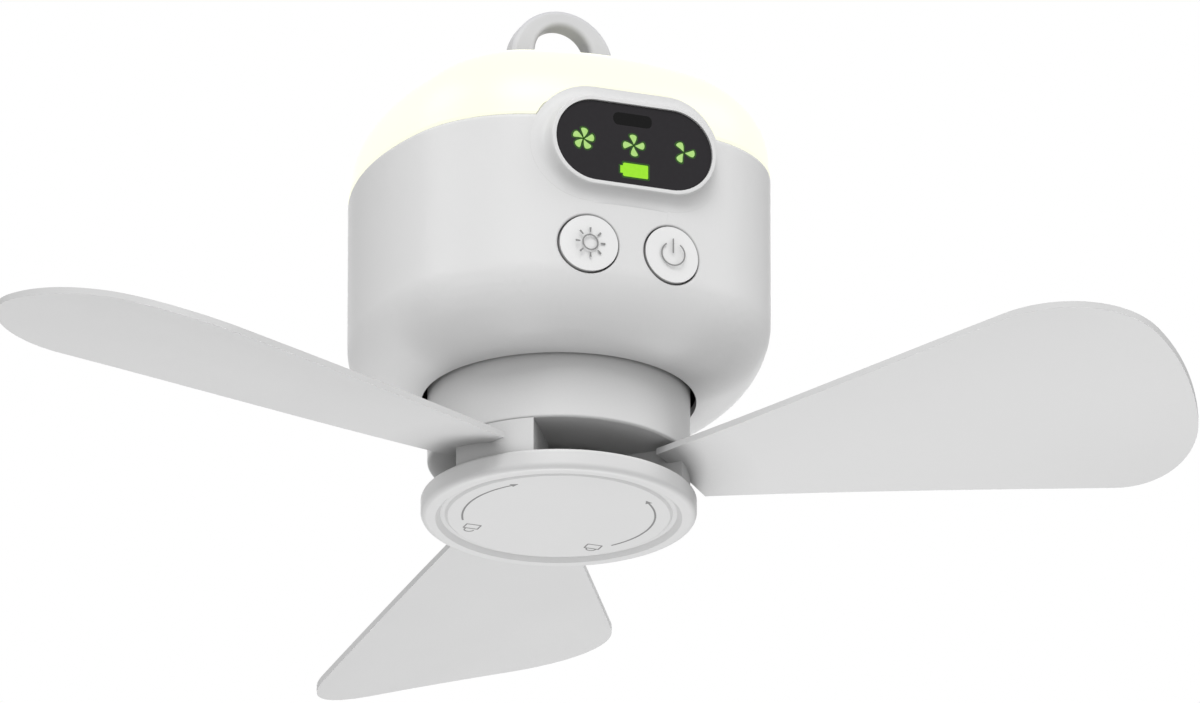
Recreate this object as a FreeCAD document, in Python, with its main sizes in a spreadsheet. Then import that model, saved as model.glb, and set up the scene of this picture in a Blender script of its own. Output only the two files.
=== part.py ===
import FreeCAD, Part
import Sketcher
import math
import os
import re

doc = FreeCAD.newDocument("HangingFan")
sheet = doc.addObject("Spreadsheet::Sheet", "Sizes")
V = FreeCAD.Vector

# Driving sizes, in millimetres and degrees. The origin is the centre of the hook's eye.
# Heights are levels along +Z. The display looks along -Y.
SIZES = (
    # casing: a rounded square with bowed sides
    ("rim_level", "-35.6"),
    ("half_width", "50"),
    ("side_bow", "=half_width + 30"),
    ("corner_bow", "33"),
    ("casing_wall", "2.2"),
    ("casing_height", "55.8"),
    ("casing_base_round", "17"),
    ("rim_round", "1.2"),
    ("bezel_round", "4.2"),
    ("hole_round", "0.5"),
    ("casing_floor", "=rim_level - casing_height"),
    ("inner_half", "=half_width - casing_wall"),
    ("drum_opening", "33.7"),
    # fits and screws used all over
    ("slip_gap", "0.3"),
    ("screw_radius", "1.2"),
    ("pilot_gap", "0.05"),
    ("head_radius", "2.3"),
    ("head_height", "1.4"),
    ("running_gap", "0.05"),
    # display bezel, window and what stands behind it
    ("display_level", "=rim_level - 7.3"),
    ("bezel_face", "=half_width + 2"),
    ("bezel_back", "=half_width - 6"),
    ("bezel_width", "50"),
    ("bezel_height", "30.4"),
    ("window_width", "40.5"),
    ("window_height", "20.8"),
    ("window_face", "=bezel_face - 0.6"),
    ("window_thick", "1.4"),
    ("window_ledge", "1.2"),
    ("mark_offset", "13.1"),
    ("mark_radius", "2.9"),
    ("receiver_rise", "6.5"),
    ("gauge_drop", "6.6"),
    ("mask_thick", "2.4"),
    ("board_thick", "1.2"),
    # buttons
    ("button_level", "=rim_level - 33.7"),
    ("button_offset", "10.8"),
    ("button_radius", "7.2"),
    ("button_gap", "0.35"),
    ("button_proud", "0.25"),
    ("flange_face", "=half_width - 5.1"),
    ("flange_back", "=flange_face - 1.2"),
    ("stem_end", "=flange_back - 1.7"),
    ("switch_face", "=stem_end - 1.2"),
    ("switch_board_face", "=switch_face - 3.2"),
    ("switch_board_half_x", "23"),
    ("switch_board_half_z", "10.2"),
    ("switch_post_x", "19.5"),
    ("switch_post_z", "7.6"),
    # charging socket
    ("socket_level", "=rim_level - 34"),
    ("socket_width", "9"),
    ("socket_height", "3.3"),
    ("socket_mouth", "=half_width - 0.8"),
    ("main_board_face", "=half_width - 8.1"),
    ("main_board_half_x", "20"),
    ("main_board_top", "=rim_level - 18.4"),
    ("main_board_base", "=rim_level - 44"),
    ("main_post_x", "15"),
    ("main_post_high", "=main_board_top - 3.5"),
    ("main_post_low", "=main_board_base + 3.5"),
    ("post_radius", "2.2"),
    # lamp
    ("lamp_height", "23.2"),
    ("lamp_round", "20.6"),
    ("lamp_wall", "3"),
    ("lip_depth", "2.5"),
    ("lip_wall", "1.6"),
    ("tray_thick", "2"),
    ("tray_top", "=rim_level - lip_depth"),
    ("tray_bottom", "=tray_top - tray_thick"),
    ("lamp_top", "=rim_level + lamp_height"),
    ("lamp_ceiling", "=lamp_top - lamp_wall"),
    ("column_radius", "9.5"),
    ("tray_post_ring", "=half_width - 4"),
    ("tray_post_radius", "3.4"),
    # hook and its base
    ("plug_radius", "9"),
    ("flange_radius", "12"),
    ("flange_thick", "0.9"),
    ("pivot_level", "=lamp_top + 4.2"),
    ("pin_radius", "1.25"),
    ("barrel_radius", "3"),
    ("barrel_half", "5"),
    ("ear_radius", "2.9"),
    ("ear_thick", "3"),
    ("ear_gap", "0.2"),
    ("eye_radius", "7.15"),
    ("hook_half", "13.4"),
    ("hook_thick", "6"),
    ("hook_crown", "11.3"),
    ("eye_drop", "2.3"),
    ("hook_shoulder", "=pivot_level + 3.2"),
    ("base_screw_offset", "6"),
    ("lamp_board_inner", "16"),
    ("lamp_board_outer", "38"),
    ("chip_ring", "31"),
    # batteries
    ("cell_radius", "9.15"),
    ("cell_length", "65"),
    ("cell_pitch", "19"),
    ("cell_level", "=rim_level - 27.5"),
    ("cradle_wall", "1.6"),
    ("cradle_base", "=cell_level - cell_radius - 0.15 - cradle_wall"),
    ("cradle_half_x", "=cell_length / 2 + slip_gap + cradle_wall"),
    ("cradle_half_y", "=cell_pitch + cell_radius + 0.25 + cradle_wall"),
    ("cradle_foot_x", "=cradle_half_x + 3.2"),
    ("cradle_foot_y", "12"),
    # motor
    ("mount_top", "=rim_level - 44.5"),
    ("mount_thick", "2"),
    ("mount_bottom", "=mount_top - mount_thick"),
    ("mount_radius", "=inner_half - 3.2"),
    ("mount_post_ring", "=half_width - 9"),
    ("mount_post_radius", "3.2"),
    ("tube_outer", "5.5"),
    ("bearing_outer", "4"),
    ("bearing_height", "3"),
    ("shaft_radius", "1.5"),
    ("tube_bottom", "=rim_level - 64"),
    ("stator_outer", "20"),
    ("stator_top", "=rim_level - 54.5"),
    ("stator_height", "7"),
    ("magnet_inner", "20.6"),
    ("magnet_outer", "23.4"),
    ("can_outer", "24.6"),
    ("can_top", "=rim_level - 52"),
    ("can_floor", "=rim_level - 67"),
    ("can_wall", "1.2"),
    # turning drum, blades and cap
    ("drum_radius", "32.2"),
    ("drum_wall", "2"),
    ("drum_top", "=rim_level - 50"),
    ("drum_face", "=rim_level - 72"),
    ("drum_floor_thick", "2.5"),
    ("cap_top", "=rim_level - 80.9"),
    ("cap_face", "=rim_level - 86.2"),
    ("cap_radius", "33.8"),
    ("spigot_radius", "10"),
    ("collar_wall", "2.8"),
    ("collar_top", "=cap_top + 7"),
    ("lug_reach", "1.9"),
    ("lug_half_angle", "6"),
    ("lug_level", "=cap_top + 2"),
    ("lug_height", "1.6"),
    ("twist_angle", "30"),
    ("blade_turn", "-35.8"),
    ("blade_thick", "1.6"),
    ("blade_camber_radius", "249"),
    ("blade_root_level", "=rim_level - 75.1"),
    ("block_start", "-6"),
    ("block_end", "34"),
    ("peg_radius", "2.2"),
    ("peg_length", "5"),
    ("peg_ring_inner", "18.5"),
    ("peg_ring_outer", "27"),
    ("pitch_root", "7.56"),
    ("pitch_gain", "15.28"),
    ("pitch_ease", "5.42"),
    ("rise_gain", "4"),
    ("rise_ease", "0.83"),
    ("blade_root", "33"),
    ("blade_span", "117"),
    ("root_high_x", "26.9"),
    ("root_high_y", "-8.3"),
    ("tip_high_x", "146.3"),
    ("tip_high_y", "-55.5"),
    ("tip_low_x", "152.6"),
    ("tip_low_y", "27.1"),
    ("root_low_x", "33.2"),
    ("root_low_y", "14.5"),
    ("tip_bow", "81.6"),
    ("tip_high_round", "25.6"),
    ("tip_low_round", "24.1"),
)

for row, (alias, value) in enumerate(SIZES, start=1):
    sheet.set("A%d" % row, alias)
    sheet.set("B%d" % row, value)
    sheet.setAlias("B%d" % row, alias)
doc.recompute()

LONGEST_FIRST = sorted((name for name, _ in SIZES), key=len, reverse=True)
NAMES = re.compile(r"\b(" + "|".join(LONGEST_FIRST) + r")\b")


def sized(text):
    """Turn a formula of size names into an expression on the sheet."""
    return NAMES.sub(r"Sizes.\1", str(text))


def number(text):
    """Value of a formula of size names."""
    value = sheet.evalExpression(sized(text))
    return float(getattr(value, "Value", value))


def bind(item, **formulas):
    """Tie properties of an object to formulas of the sheet."""
    for path, formula in formulas.items():
        item.setExpression(path.replace("__", "."), sized(formula))


def place(item, x="0", y="0", z="0", axis=None, angle=0):
    """Set an object's position from formulas, turned by a fixed angle about an axis."""
    turn = FreeCAD.Rotation(V(*axis), angle) if axis else FreeCAD.Rotation()
    item.Placement = FreeCAD.Placement(V(0, 0, 0), turn)
    bind(item, Placement__Base__x=x, Placement__Base__y=y, Placement__Base__z=z)
    return item


def rod(name, radius, bottom, top, x="0", y="0", sector=None, start=0):
    """Upright cylinder between two levels, or a sector of one."""
    item = doc.addObject("Part::Cylinder", name)
    bind(item, Radius=radius, Height="(%s) - (%s)" % (top, bottom))
    if sector:
        bind(item, Angle=sector)
    return place(item, x, y, bottom, (0, 0, 1), start)


def rod_along_y(name, radius, front, back, x, z):
    """Cylinder along Y between two depths."""
    item = doc.addObject("Part::Cylinder", name)
    bind(item, Radius=radius, Height="(%s) - (%s)" % (back, front))
    return place(item, x, front, z, (1, 0, 0), -90)


def rod_along_x(name, radius, left, right, y, z):
    """Cylinder along X between two positions."""
    item = doc.addObject("Part::Cylinder", name)
    bind(item, Radius=radius, Height="(%s) - (%s)" % (right, left))
    return place(item, left, y, z, (0, 1, 0), 90)


def block(name, x0, x1, y0, y1, z0, z1):
    """Box between two formulas on each axis."""
    item = doc.addObject("Part::Box", name)
    bind(
        item,
        Length="(%s) - (%s)" % (x1, x0),
        Width="(%s) - (%s)" % (y1, y0),
        Height="(%s) - (%s)" % (z1, z0),
    )
    return place(item, x0, y0, z0)


def turned_box(name, length, width, height, radius, z, angle, lift="0"):
    """Box centred on a ring at an angle, its length running outward."""
    item = doc.addObject("Part::Box", name)
    bind(item, Length=length, Width=width, Height=height)
    item.Placement = FreeCAD.Placement(V(0, 0, 0), FreeCAD.Rotation(V(0, 0, 1), angle))
    cosine = math.cos(math.radians(angle))
    sine = math.sin(math.radians(angle))
    near = "((%s) - (%s) / 2)" % (radius, length)
    bind(
        item,
        Placement__Base__x="%s * %.9f + (%s) / 2 * %.9f" % (near, cosine, width, sine),
        Placement__Base__y="%s * %.9f - (%s) / 2 * %.9f" % (near, sine, width, cosine),
        Placement__Base__z="(%s) + (%s)" % (z, lift),
    )
    return item


def on_ring(radius, angle):
    """Formulas of a point on a ring."""
    turn = math.radians(angle)
    return "(%s) * %.9f" % (radius, math.cos(turn)), "(%s) * %.9f" % (radius, math.sin(turn))


def fused(name, *items):
    """One solid from several that touch or overlap."""
    item = doc.addObject("Part::MultiFuse", name)
    item.Shapes = list(items)
    item.Refine = True
    return item


def cut(name, base, *tools):
    """Base with one or more tools taken away."""
    tool = tools[0] if len(tools) == 1 else fused(name + "Tools", *tools)
    item = doc.addObject("Part::Cut", name)
    item.Base = base
    item.Tool = tool
    return item


def group(name, items):
    """Separate identical solids kept together under one name."""
    item = doc.addObject("Part::Compound", name)
    item.Links = list(items)
    return item


NODES = []


def piece(item, label):
    """Name a finished sub-part after the file it is written to."""
    item.Label = label
    NODES.append(item)
    return item


def body_named(name):
    """New part-design body."""
    return doc.addObject("PartDesign::Body", name)


def plane_of(body, role):
    """Origin plane of a body."""
    return next(item for item in body.Origin.OriginFeatures if item.Role == role)


def sketch_on(body, name, role="XY_Plane", level="0", turn=None):
    """Empty sketch parallel to an origin plane, at a distance set by a formula."""
    sketch = body.newObject("Sketcher::SketchObject", name)
    sketch.AttachmentSupport = [(plane_of(body, role), "")]
    sketch.MapMode = "FlatFace"
    if turn is not None:
        offset = FreeCAD.Placement(V(0, 0, 0), FreeCAD.Rotation(V(0, 0, 1), number(turn)))
        sketch.AttachmentOffset = offset
        bind(sketch, AttachmentOffset__Rotation__Angle=turn)
    bind(sketch, AttachmentOffset__Base__z=level)
    return sketch


def fix_point(sketch, geometry, end, x, y):
    """Hold one end of an edge at two formulas from the sketch's origin."""
    for kind, formula in (("DistanceX", x), ("DistanceY", y)):
        index = sketch.addConstraint(Sketcher.Constraint(kind, -1, 1, geometry, end, number(formula)))
        sketch.setExpression("Constraints[%d]" % index, sized(formula))


def draw_polygon(sketch, points):
    """Closed outline whose corners are all set by formulas."""
    corners = [V(number(x), number(y), 0) for x, y in points]
    first = sketch.GeometryCount
    count = len(points)
    for index in range(count):
        sketch.addGeometry(Part.LineSegment(corners[index], corners[(index + 1) % count]), False)
    for index in range(count):
        following = first + (index + 1) % count
        sketch.addConstraint(Sketcher.Constraint("Coincident", first + index, 2, following, 1))
    for index, (x, y) in enumerate(points):
        fix_point(sketch, first + index, 1, x, y)


def draw_circle(sketch, radius, x="0", y="0"):
    """Circle with its centre and radius set by formulas."""
    centre = V(number(x), number(y), 0)
    index = sketch.addGeometry(Part.Circle(centre, V(0, 0, 1), number(radius)), False)
    fix_point(sketch, index, 3, x, y)
    rule = sketch.addConstraint(Sketcher.Constraint("Radius", index, number(radius)))
    sketch.setExpression("Constraints[%d]" % rule, sized(radius))


def draw_pill(sketch, width, height, x="0", y="0"):
    """Slot outline with round ends, drawn as two half circles and two straight sides."""
    radius = number(height) / 2
    reach = number(width) / 2 - radius
    middle_x = number(x)
    middle_y = number(y)
    first = sketch.GeometryCount
    right = Part.Circle(V(middle_x + reach, middle_y, 0), V(0, 0, 1), radius)
    left = Part.Circle(V(middle_x - reach, middle_y, 0), V(0, 0, 1), radius)
    sketch.addGeometry(Part.ArcOfCircle(right, -math.pi / 2, math.pi / 2), False)
    top = (V(middle_x + reach, middle_y + radius, 0), V(middle_x - reach, middle_y + radius, 0))
    sketch.addGeometry(Part.LineSegment(*top), False)
    sketch.addGeometry(Part.ArcOfCircle(left, math.pi / 2, 3 * math.pi / 2), False)
    base = (V(middle_x - reach, middle_y - radius, 0), V(middle_x + reach, middle_y - radius, 0))
    sketch.addGeometry(Part.LineSegment(*base), False)
    for step in range(4):
        one = first + step
        other = first + (step + 1) % 4
        sketch.addConstraint(Sketcher.Constraint("Tangent", one, 2, other, 1))
    fix_point(sketch, first, 3, "(%s) + ((%s) - (%s)) / 2" % (x, width, height), y)
    fix_point(sketch, first + 2, 3, "(%s) - ((%s) - (%s)) / 2" % (x, width, height), y)
    rule = sketch.addConstraint(Sketcher.Constraint("Radius", first, radius))
    sketch.setExpression("Constraints[%d]" % rule, sized("(%s) / 2" % height))


def draw_bowed_square(sketch, inset="0"):
    """Four long arcs that bow outward and meet in sharp corners."""
    bow = number("side_bow - (%s)" % inset)
    offset = number("side_bow - half_width")
    corner = (-2 * offset + math.sqrt(4 * offset ** 2 - 8 * (offset ** 2 - bow ** 2))) / 4
    reach = math.atan2(corner, corner + offset)
    first = sketch.GeometryCount
    for side in range(4):
        turn = side * math.pi / 2
        centre = V(-offset * math.cos(turn), -offset * math.sin(turn), 0)
        arc = Part.ArcOfCircle(Part.Circle(centre, V(0, 0, 1), bow), turn - reach, turn + reach)
        sketch.addGeometry(arc, False)
    for side in range(4):
        sketch.addConstraint(
            Sketcher.Constraint("Coincident", first + side, 2, first + (side + 1) % 4, 1)
        )
    shift = "(side_bow - half_width)"
    centres = (("-" + shift, "0"), ("0", "-" + shift), (shift, "0"), ("0", shift))
    for side, (x, y) in enumerate(centres):
        fix_point(sketch, first + side, 3, x, y)
        rule = sketch.addConstraint(Sketcher.Constraint("Radius", first + side, bow))
        sketch.setExpression("Constraints[%d]" % rule, sized("side_bow - (%s)" % inset))


def pad(body, sketch, name, length, reverse=False, midplane=False):
    """Extrude a sketch by a formula."""
    item = body.newObject("PartDesign::Pad", name)
    item.Profile = sketch
    item.Reversed = reverse
    item.Midplane = midplane
    bind(item, Length=length)
    doc.recompute()
    return item


def pocket(body, sketch, name, length, reverse=False, midplane=False):
    """Cut a sketch into the body by a formula, and make sure material was removed."""
    before = body.Shape.Volume
    item = body.newObject("PartDesign::Pocket", name)
    item.Profile = sketch
    item.Reversed = reverse
    item.Midplane = midplane
    bind(item, Length=length)
    doc.recompute()
    if body.Shape.Volume >= before - 1e-6:
        raise ValueError("%s removed nothing, %s" % (name, item.State))
    return item


def rounded(body, name, radius, test):
    """Fillet the edges that pass a test."""
    base = body.Tip
    item = body.newObject("PartDesign::Fillet", name)
    item.Base = (base, edges_of(base, test))
    bind(item, Radius=radius)
    doc.recompute()
    return item


def edges_of(feature, test):
    """Names of one feature's edges that pass a test."""
    names = []
    for index, edge in enumerate(feature.Shape.Edges, start=1):
        ends = [vertex.Point for vertex in edge.Vertexes]
        low, high = edge.ParameterRange
        middle = edge.valueAt((low + high) / 2)
        if test(ends + [middle]):
            names.append("Edge%d" % index)
    if not names:
        raise ValueError("no edge found in %s" % feature.Name)
    return names


def at_level(level, outside=0.0, inside=1e9):
    """Test for edges in one level plane, within a band of distances from the axis."""
    height = number(level)

    def test(points):
        flat = all(abs(point.z - height) < 0.02 for point in points)
        reach = [math.hypot(point.x, point.y) for point in points]
        return flat and min(reach) > outside and max(reach) < inside

    return test


def outer_edge_at(level):
    """Test for the edges of the outer rounded-square outline in one level plane."""
    height = number(level)
    limit = number("half_width - casing_wall / 2")

    def test(points):
        flat = all(abs(point.z - height) < 0.02 for point in points)
        power = 2.52
        sizes = [(abs(p.x) ** power + abs(p.y) ** power) ** (1 / power) for p in points]
        return flat and min(sizes) > limit

    return test


def upright(outside=0.0, inside=1e9):
    """Test for vertical edges within a band of distances from the axis."""

    def test(points):
        first = points[0]
        straight = all(abs(p.x - first.x) + abs(p.y - first.y) < 0.02 for p in points)
        tall = max(p.z for p in points) - min(p.z for p in points) > 0.3
        reach = math.hypot(first.x, first.y)
        return straight and tall and outside < reach < inside

    return test


def turned_body(name, points):
    """Body turned about the Z axis from a closed profile of radius and level formulas."""
    body = body_named(name)
    sketch = sketch_on(body, name + "Profile", "XZ_Plane")
    draw_polygon(sketch, points)
    turn = body.newObject("PartDesign::Revolution", name + "Turn")
    turn.Profile = sketch
    turn.ReferenceAxis = (sketch, ["V_Axis"])
    turn.Angle = 360
    doc.recompute()
    return body


def bowed_prism(body, name, inset, low, high, corner):
    """Rounded-square prism between two levels, as the first pad of a body."""
    sketch = sketch_on(body, name + "Plan", "XY_Plane", low)
    draw_bowed_square(sketch, inset)
    pad(body, sketch, name + "Pad", "(%s) - (%s)" % (high, low))
    return rounded(body, name + "Corners", corner, upright())


def shelled(body, name, wall, open_level):
    """Hollow the body to an even wall, open at one level."""
    height = number(open_level)
    base = body.Tip
    faces = []
    for index, face in enumerate(base.Shape.Faces, start=1):
        box = face.BoundBox
        if abs(box.ZMin - height) < 0.02 and abs(box.ZMax - height) < 0.02:
            faces.append("Face%d" % index)
    item = body.newObject("PartDesign::Thickness", name)
    item.Base = (base, faces)
    item.Mode = 0
    item.Join = 0
    item.Reversed = True
    bind(item, Value=wall)
    doc.recompute()
    return item


DIAGONALS = (45, 135, 225, 315)


def make_casing():
    """Moulded shell: bowed square plan, round base, raised display bezel, holes and screw posts."""
    body = body_named("Casing")
    bowed_prism(body, "Casing", "0", "casing_floor", "rim_level", "corner_bow")
    rounded(body, "CasingBaseRound", "casing_base_round", at_level("casing_floor"))
    shelled(body, "CasingShell", "casing_wall", "rim_level")
    rounded(body, "RimRound", "rim_round", outer_edge_at("rim_level"))
    bezel = sketch_on(body, "BezelOutline", "XZ_Plane", "bezel_back")
    draw_pill(bezel, "bezel_width", "bezel_height", "0", "display_level")
    pad(body, bezel, "Bezel", "bezel_face - bezel_back")
    face = number("bezel_face")

    def bezel_edge(points):
        return all(abs(p.y + face) < 0.02 for p in points)

    rounded(body, "BezelRound", "bezel_round", bezel_edge)
    for index, angle in enumerate(DIAGONALS):
        x, y = on_ring("tray_post_ring", angle)
        post = sketch_on(body, "TrayPostPlan%d" % index, "XY_Plane", "tray_bottom")
        draw_circle(post, "tray_post_radius", x, y)
        pad(body, post, "TrayPost%d" % index, "14", True)
        x_rib, y_rib = on_ring("tray_post_ring + 4.8", angle)
        rib = sketch_on(body, "TrayRibPlan%d" % index, "XY_Plane", "tray_bottom")
        draw_circle(rib, "2", x_rib, y_rib)
        pad(body, rib, "TrayRib%d" % index, "14", True)
        pilot = sketch_on(body, "TrayPilotPlan%d" % index, "XY_Plane", "tray_bottom")
        draw_circle(pilot, "screw_radius + pilot_gap", x, y)
        pocket(body, pilot, "TrayPilot%d" % index, "9")
        x, y = on_ring("mount_post_ring", angle)
        post = sketch_on(body, "MountPostPlan%d" % index, "XY_Plane", "mount_bottom")
        draw_circle(post, "mount_post_radius", x, y)
        pad(body, post, "MountPost%d" % index, "7.2", True)
        pilot = sketch_on(body, "MountPilotPlan%d" % index, "XY_Plane", "mount_bottom")
        draw_circle(pilot, "screw_radius + pilot_gap", x, y)
        pocket(body, pilot, "MountPilot%d" % index, "5.2")
    rows = (
        ("SwitchPost", "switch_board_face", "8.6", False, "switch_post_x",
         ("button_level + switch_post_z", "button_level - switch_post_z")),
        ("MainPost", "-main_board_face", "4.8", True, "main_post_x", ("main_post_high", "main_post_low")),
    )
    for name, face, length, reverse, x, levels in rows:
        posts = sketch_on(body, name + "Plan", "XZ_Plane", face)
        pilots = sketch_on(body, name + "PilotPlan", "XZ_Plane", face)
        for side in ("-(%s)" % x, x):
            for level in levels:
                draw_circle(posts, "post_radius", side, level)
                draw_circle(pilots, "screw_radius + pilot_gap", side, level)
        pad(body, posts, name, length, reverse)
        pocket(body, pilots, name + "Pilot", "%s - 1.2" % length if reverse else "6", not reverse)
    opening = sketch_on(body, "DrumOpeningPlan", "XY_Plane", "casing_floor + 6")
    draw_circle(opening, "drum_opening")
    pocket(body, opening, "DrumOpening", "12")
    window = sketch_on(body, "WindowSeatPlan", "XZ_Plane", "bezel_face")
    draw_pill(window, "window_width + 0.3", "window_height + 0.3", "0", "display_level")
    pocket(body, window, "WindowSeat", "bezel_face - window_face + window_thick")
    light = sketch_on(body, "WindowHolePlan", "XZ_Plane", "bezel_face")
    draw_pill(
        light,
        "window_width - 2 * window_ledge",
        "window_height - 2 * window_ledge",
        "0",
        "display_level",
    )
    pocket(body, light, "WindowHole", "12")
    holes = sketch_on(body, "ButtonHolesPlan", "XZ_Plane", "half_width + 1")
    for side in ("-button_offset", "button_offset"):
        draw_circle(holes, "button_radius + button_gap", side, "button_level")
    pocket(body, holes, "ButtonHoles", "8")
    offset = number("button_offset")
    level = number("button_level")
    reach = number("button_radius + button_gap")
    depth = number("half_width - casing_wall / 2 - 1")

    def hole_edge(points):
        ring = [math.hypot(abs(p.x) - offset, p.z - level) for p in points]
        front = all(p.y < -depth for p in points)
        return front and all(abs(size - reach) < 0.05 for size in ring)

    rounded(body, "ButtonHoleRound", "hole_round", hole_edge)
    inlet = sketch_on(body, "SocketHolePlan", "XZ_Plane", "-half_width - 1")
    draw_pill(inlet, "socket_width + 0.4", "socket_height + 0.4", "0", "socket_level")
    pocket(body, inlet, "SocketHole", "8", True)
    return piece(body, "casing")


def bowed_ring(name, inset, wall, low, high):
    """Rounded-square ring between two levels."""
    outer = body_named(name + "Outer")
    bowed_prism(outer, name + "Outer", inset, low, high, "corner_bow - (%s)" % inset)
    inner = body_named(name + "Inner")
    depth = "(%s) + (%s)" % (inset, wall)
    bow = "corner_bow - (%s)" % depth
    bowed_prism(inner, name + "Inner", depth, "(%s) - 1" % low, "(%s) + 1" % high, bow)
    return cut(name, outer, inner)


def bezel_tool(name, back, growth):
    """Pill-shaped block around the bezel, used to leave room for it."""
    body = body_named(name)
    outline = sketch_on(body, name + "Outline", "XZ_Plane", back)
    draw_pill(
        outline,
        "bezel_width + 2 * (%s)" % growth,
        "bezel_height + 2 * (%s)" % growth,
        "0",
        "display_level",
    )
    pad(body, outline, name + "Pad", "14")
    return body


def make_lamp_diffuser():
    """Milky cover: flush with the casing, one big rounding, inner lip, hook hole and bezel notch."""
    body = body_named("Diffuser")
    bowed_prism(body, "Diffuser", "0", "rim_level", "lamp_top", "corner_bow")
    rounded(body, "DiffuserRound", "lamp_round", at_level("lamp_top"))
    shelled(body, "DiffuserShell", "lamp_wall", "rim_level")
    rounded(body, "DiffuserBaseRound", "0.4", outer_edge_at("rim_level"))
    lip = bowed_ring("Lip", "casing_wall + slip_gap", "lip_wall", "tray_top", "rim_level + 2")
    cover = fused("DiffuserWithLip", body, lip)
    hole = rod("HookHole", "plug_radius + slip_gap", "lamp_ceiling - 2", "lamp_top + 2")
    notch = bezel_tool("BezelNotch", "bezel_back - slip_gap", "slip_gap")
    return piece(cut("LampCover", cover, hole, notch), "lamp_diffuser")


def screw_down(name, x, y, seat, length):
    """Round-head screw standing on its seat, its shank pointing down."""
    head = rod(name + "Head", "head_radius", seat, "(%s) + head_height" % seat, x, y)
    shank = rod(name + "Shank", "screw_radius", "(%s) - (%s)" % (seat, length), seat, x, y)
    return fused(name, head, shank)


def screw_along_y(name, x, z, seat, length, outward):
    """Round-head screw lying along Y. Outward is the sign of the way its shank points."""
    if outward > 0:
        head = rod_along_y(name + "Head", "head_radius", "(%s) - head_height" % seat, seat, x, z)
        shank = rod_along_y(name + "Shank", "screw_radius", seat, "(%s) + (%s)" % (seat, length), x, z)
    else:
        head = rod_along_y(name + "Head", "head_radius", seat, "(%s) + head_height" % seat, x, z)
        shank = rod_along_y(name + "Shank", "screw_radius", "(%s) - (%s)" % (seat, length), seat, x, z)
    return fused(name, head, shank)


def make_lamp_tray():
    """White plate that closes the casing, with the column that carries the hook base."""
    plate = body_named("TrayPlate")
    inset = "casing_wall + slip_gap"
    bowed_prism(plate, "TrayPlate", inset, "tray_bottom", "tray_top", "corner_bow - (%s)" % inset)
    column = rod("Column", "column_radius", "tray_bottom", "lamp_ceiling")
    holes = [bezel_tool("TrayNotch", "bezel_back - slip_gap", "slip_gap")]
    holes.append(rod("ColumnBore", "3", "tray_bottom - 1", "lamp_ceiling + 1"))
    for index, angle in enumerate(DIAGONALS):
        x, y = on_ring("tray_post_ring", angle)
        name = "TrayHole%d" % index
        holes.append(rod(name, "screw_radius + 0.2", "tray_bottom - 1", "tray_top + 1", x, y))
    for name, y in (("BasePilotA", "-base_screw_offset"), ("BasePilotB", "base_screw_offset")):
        holes.append(
            rod(name, "screw_radius + pilot_gap", "lamp_ceiling - 7", "lamp_ceiling + 1", "0", y)
        )
    piece(cut("LampTray", fused("TrayBody", plate, column), *holes), "lamp_tray")
    screws = []
    for index, angle in enumerate(DIAGONALS):
        x, y = on_ring("tray_post_ring", angle)
        screws.append(screw_down("TrayScrew%d" % index, x, y, "tray_top", "9"))
    piece(group("TrayScrews", screws), "tray_screws")


def make_lamp_board():
    """Ring-shaped lamp board and the light chips on it."""
    disc = rod("LampDisc", "lamp_board_outer", "tray_top", "tray_top + board_thick")
    hole = rod("LampDiscHole", "lamp_board_inner", "tray_top - 1", "tray_top + board_thick + 1")
    piece(cut("LampBoard", disc, hole), "lamp_board")
    chips = []
    for index in range(12):
        name = "Chip%d" % index
        level = "tray_top + board_thick"
        chips.append(turned_box(name, "3", "3", "0.8", "chip_ring", level, 15 + index * 30))
    piece(group("LampChips", chips), "lamp_chips")


def make_hook_base():
    """Plug with a flange and two ears for the hook's pin, and its two screws."""
    parts = [rod("Plug", "plug_radius", "lamp_ceiling", "lamp_top + flange_thick")]
    parts.append(rod("Flange", "flange_radius", "lamp_top", "lamp_top + flange_thick"))
    near = "barrel_half + ear_gap"
    far = "barrel_half + ear_gap + ear_thick"
    for name, low, high in (("Right", near, far), ("Left", "-(%s)" % far, "-(%s)" % near)):
        parts.append(
            block("EarPost" + name, low, high, "-ear_radius", "ear_radius", "lamp_top", "pivot_level")
        )
        parts.append(rod_along_x("EarTop" + name, "ear_radius", low, high, "0", "pivot_level"))
    far_reach = "barrel_half + ear_gap + ear_thick + 1"
    tools = [rod_along_x("EarBore", "pin_radius", "-(%s)" % far_reach, far_reach, "0", "pivot_level")]
    seat = "lamp_top + flange_thick - head_height"
    screws = []
    for name, y in (("A", "-base_screw_offset"), ("B", "base_screw_offset")):
        tools.append(rod("HeadSeat" + name, "head_radius + 0.2", seat, "lamp_top + 4", "0", y))
        tools.append(rod("ShankHole" + name, "screw_radius + 0.2", "lamp_ceiling - 1", seat, "0", y))
        screws.append(screw_down("BaseScrew" + name, "0", y, seat, "8"))
    tools.append(rod("PlugBore", "2", "lamp_ceiling - 1", "lamp_top"))
    piece(cut("HookBase", fused("HookBaseBlank", *parts), *tools), "hook_base")
    piece(group("HookBaseScrews", screws), "hook_base_screws")
    pin = rod_along_x("HookPin", "pin_radius", "-(%s)" % far, far, "0", "pivot_level")
    piece(pin, "hook_pin")


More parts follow.
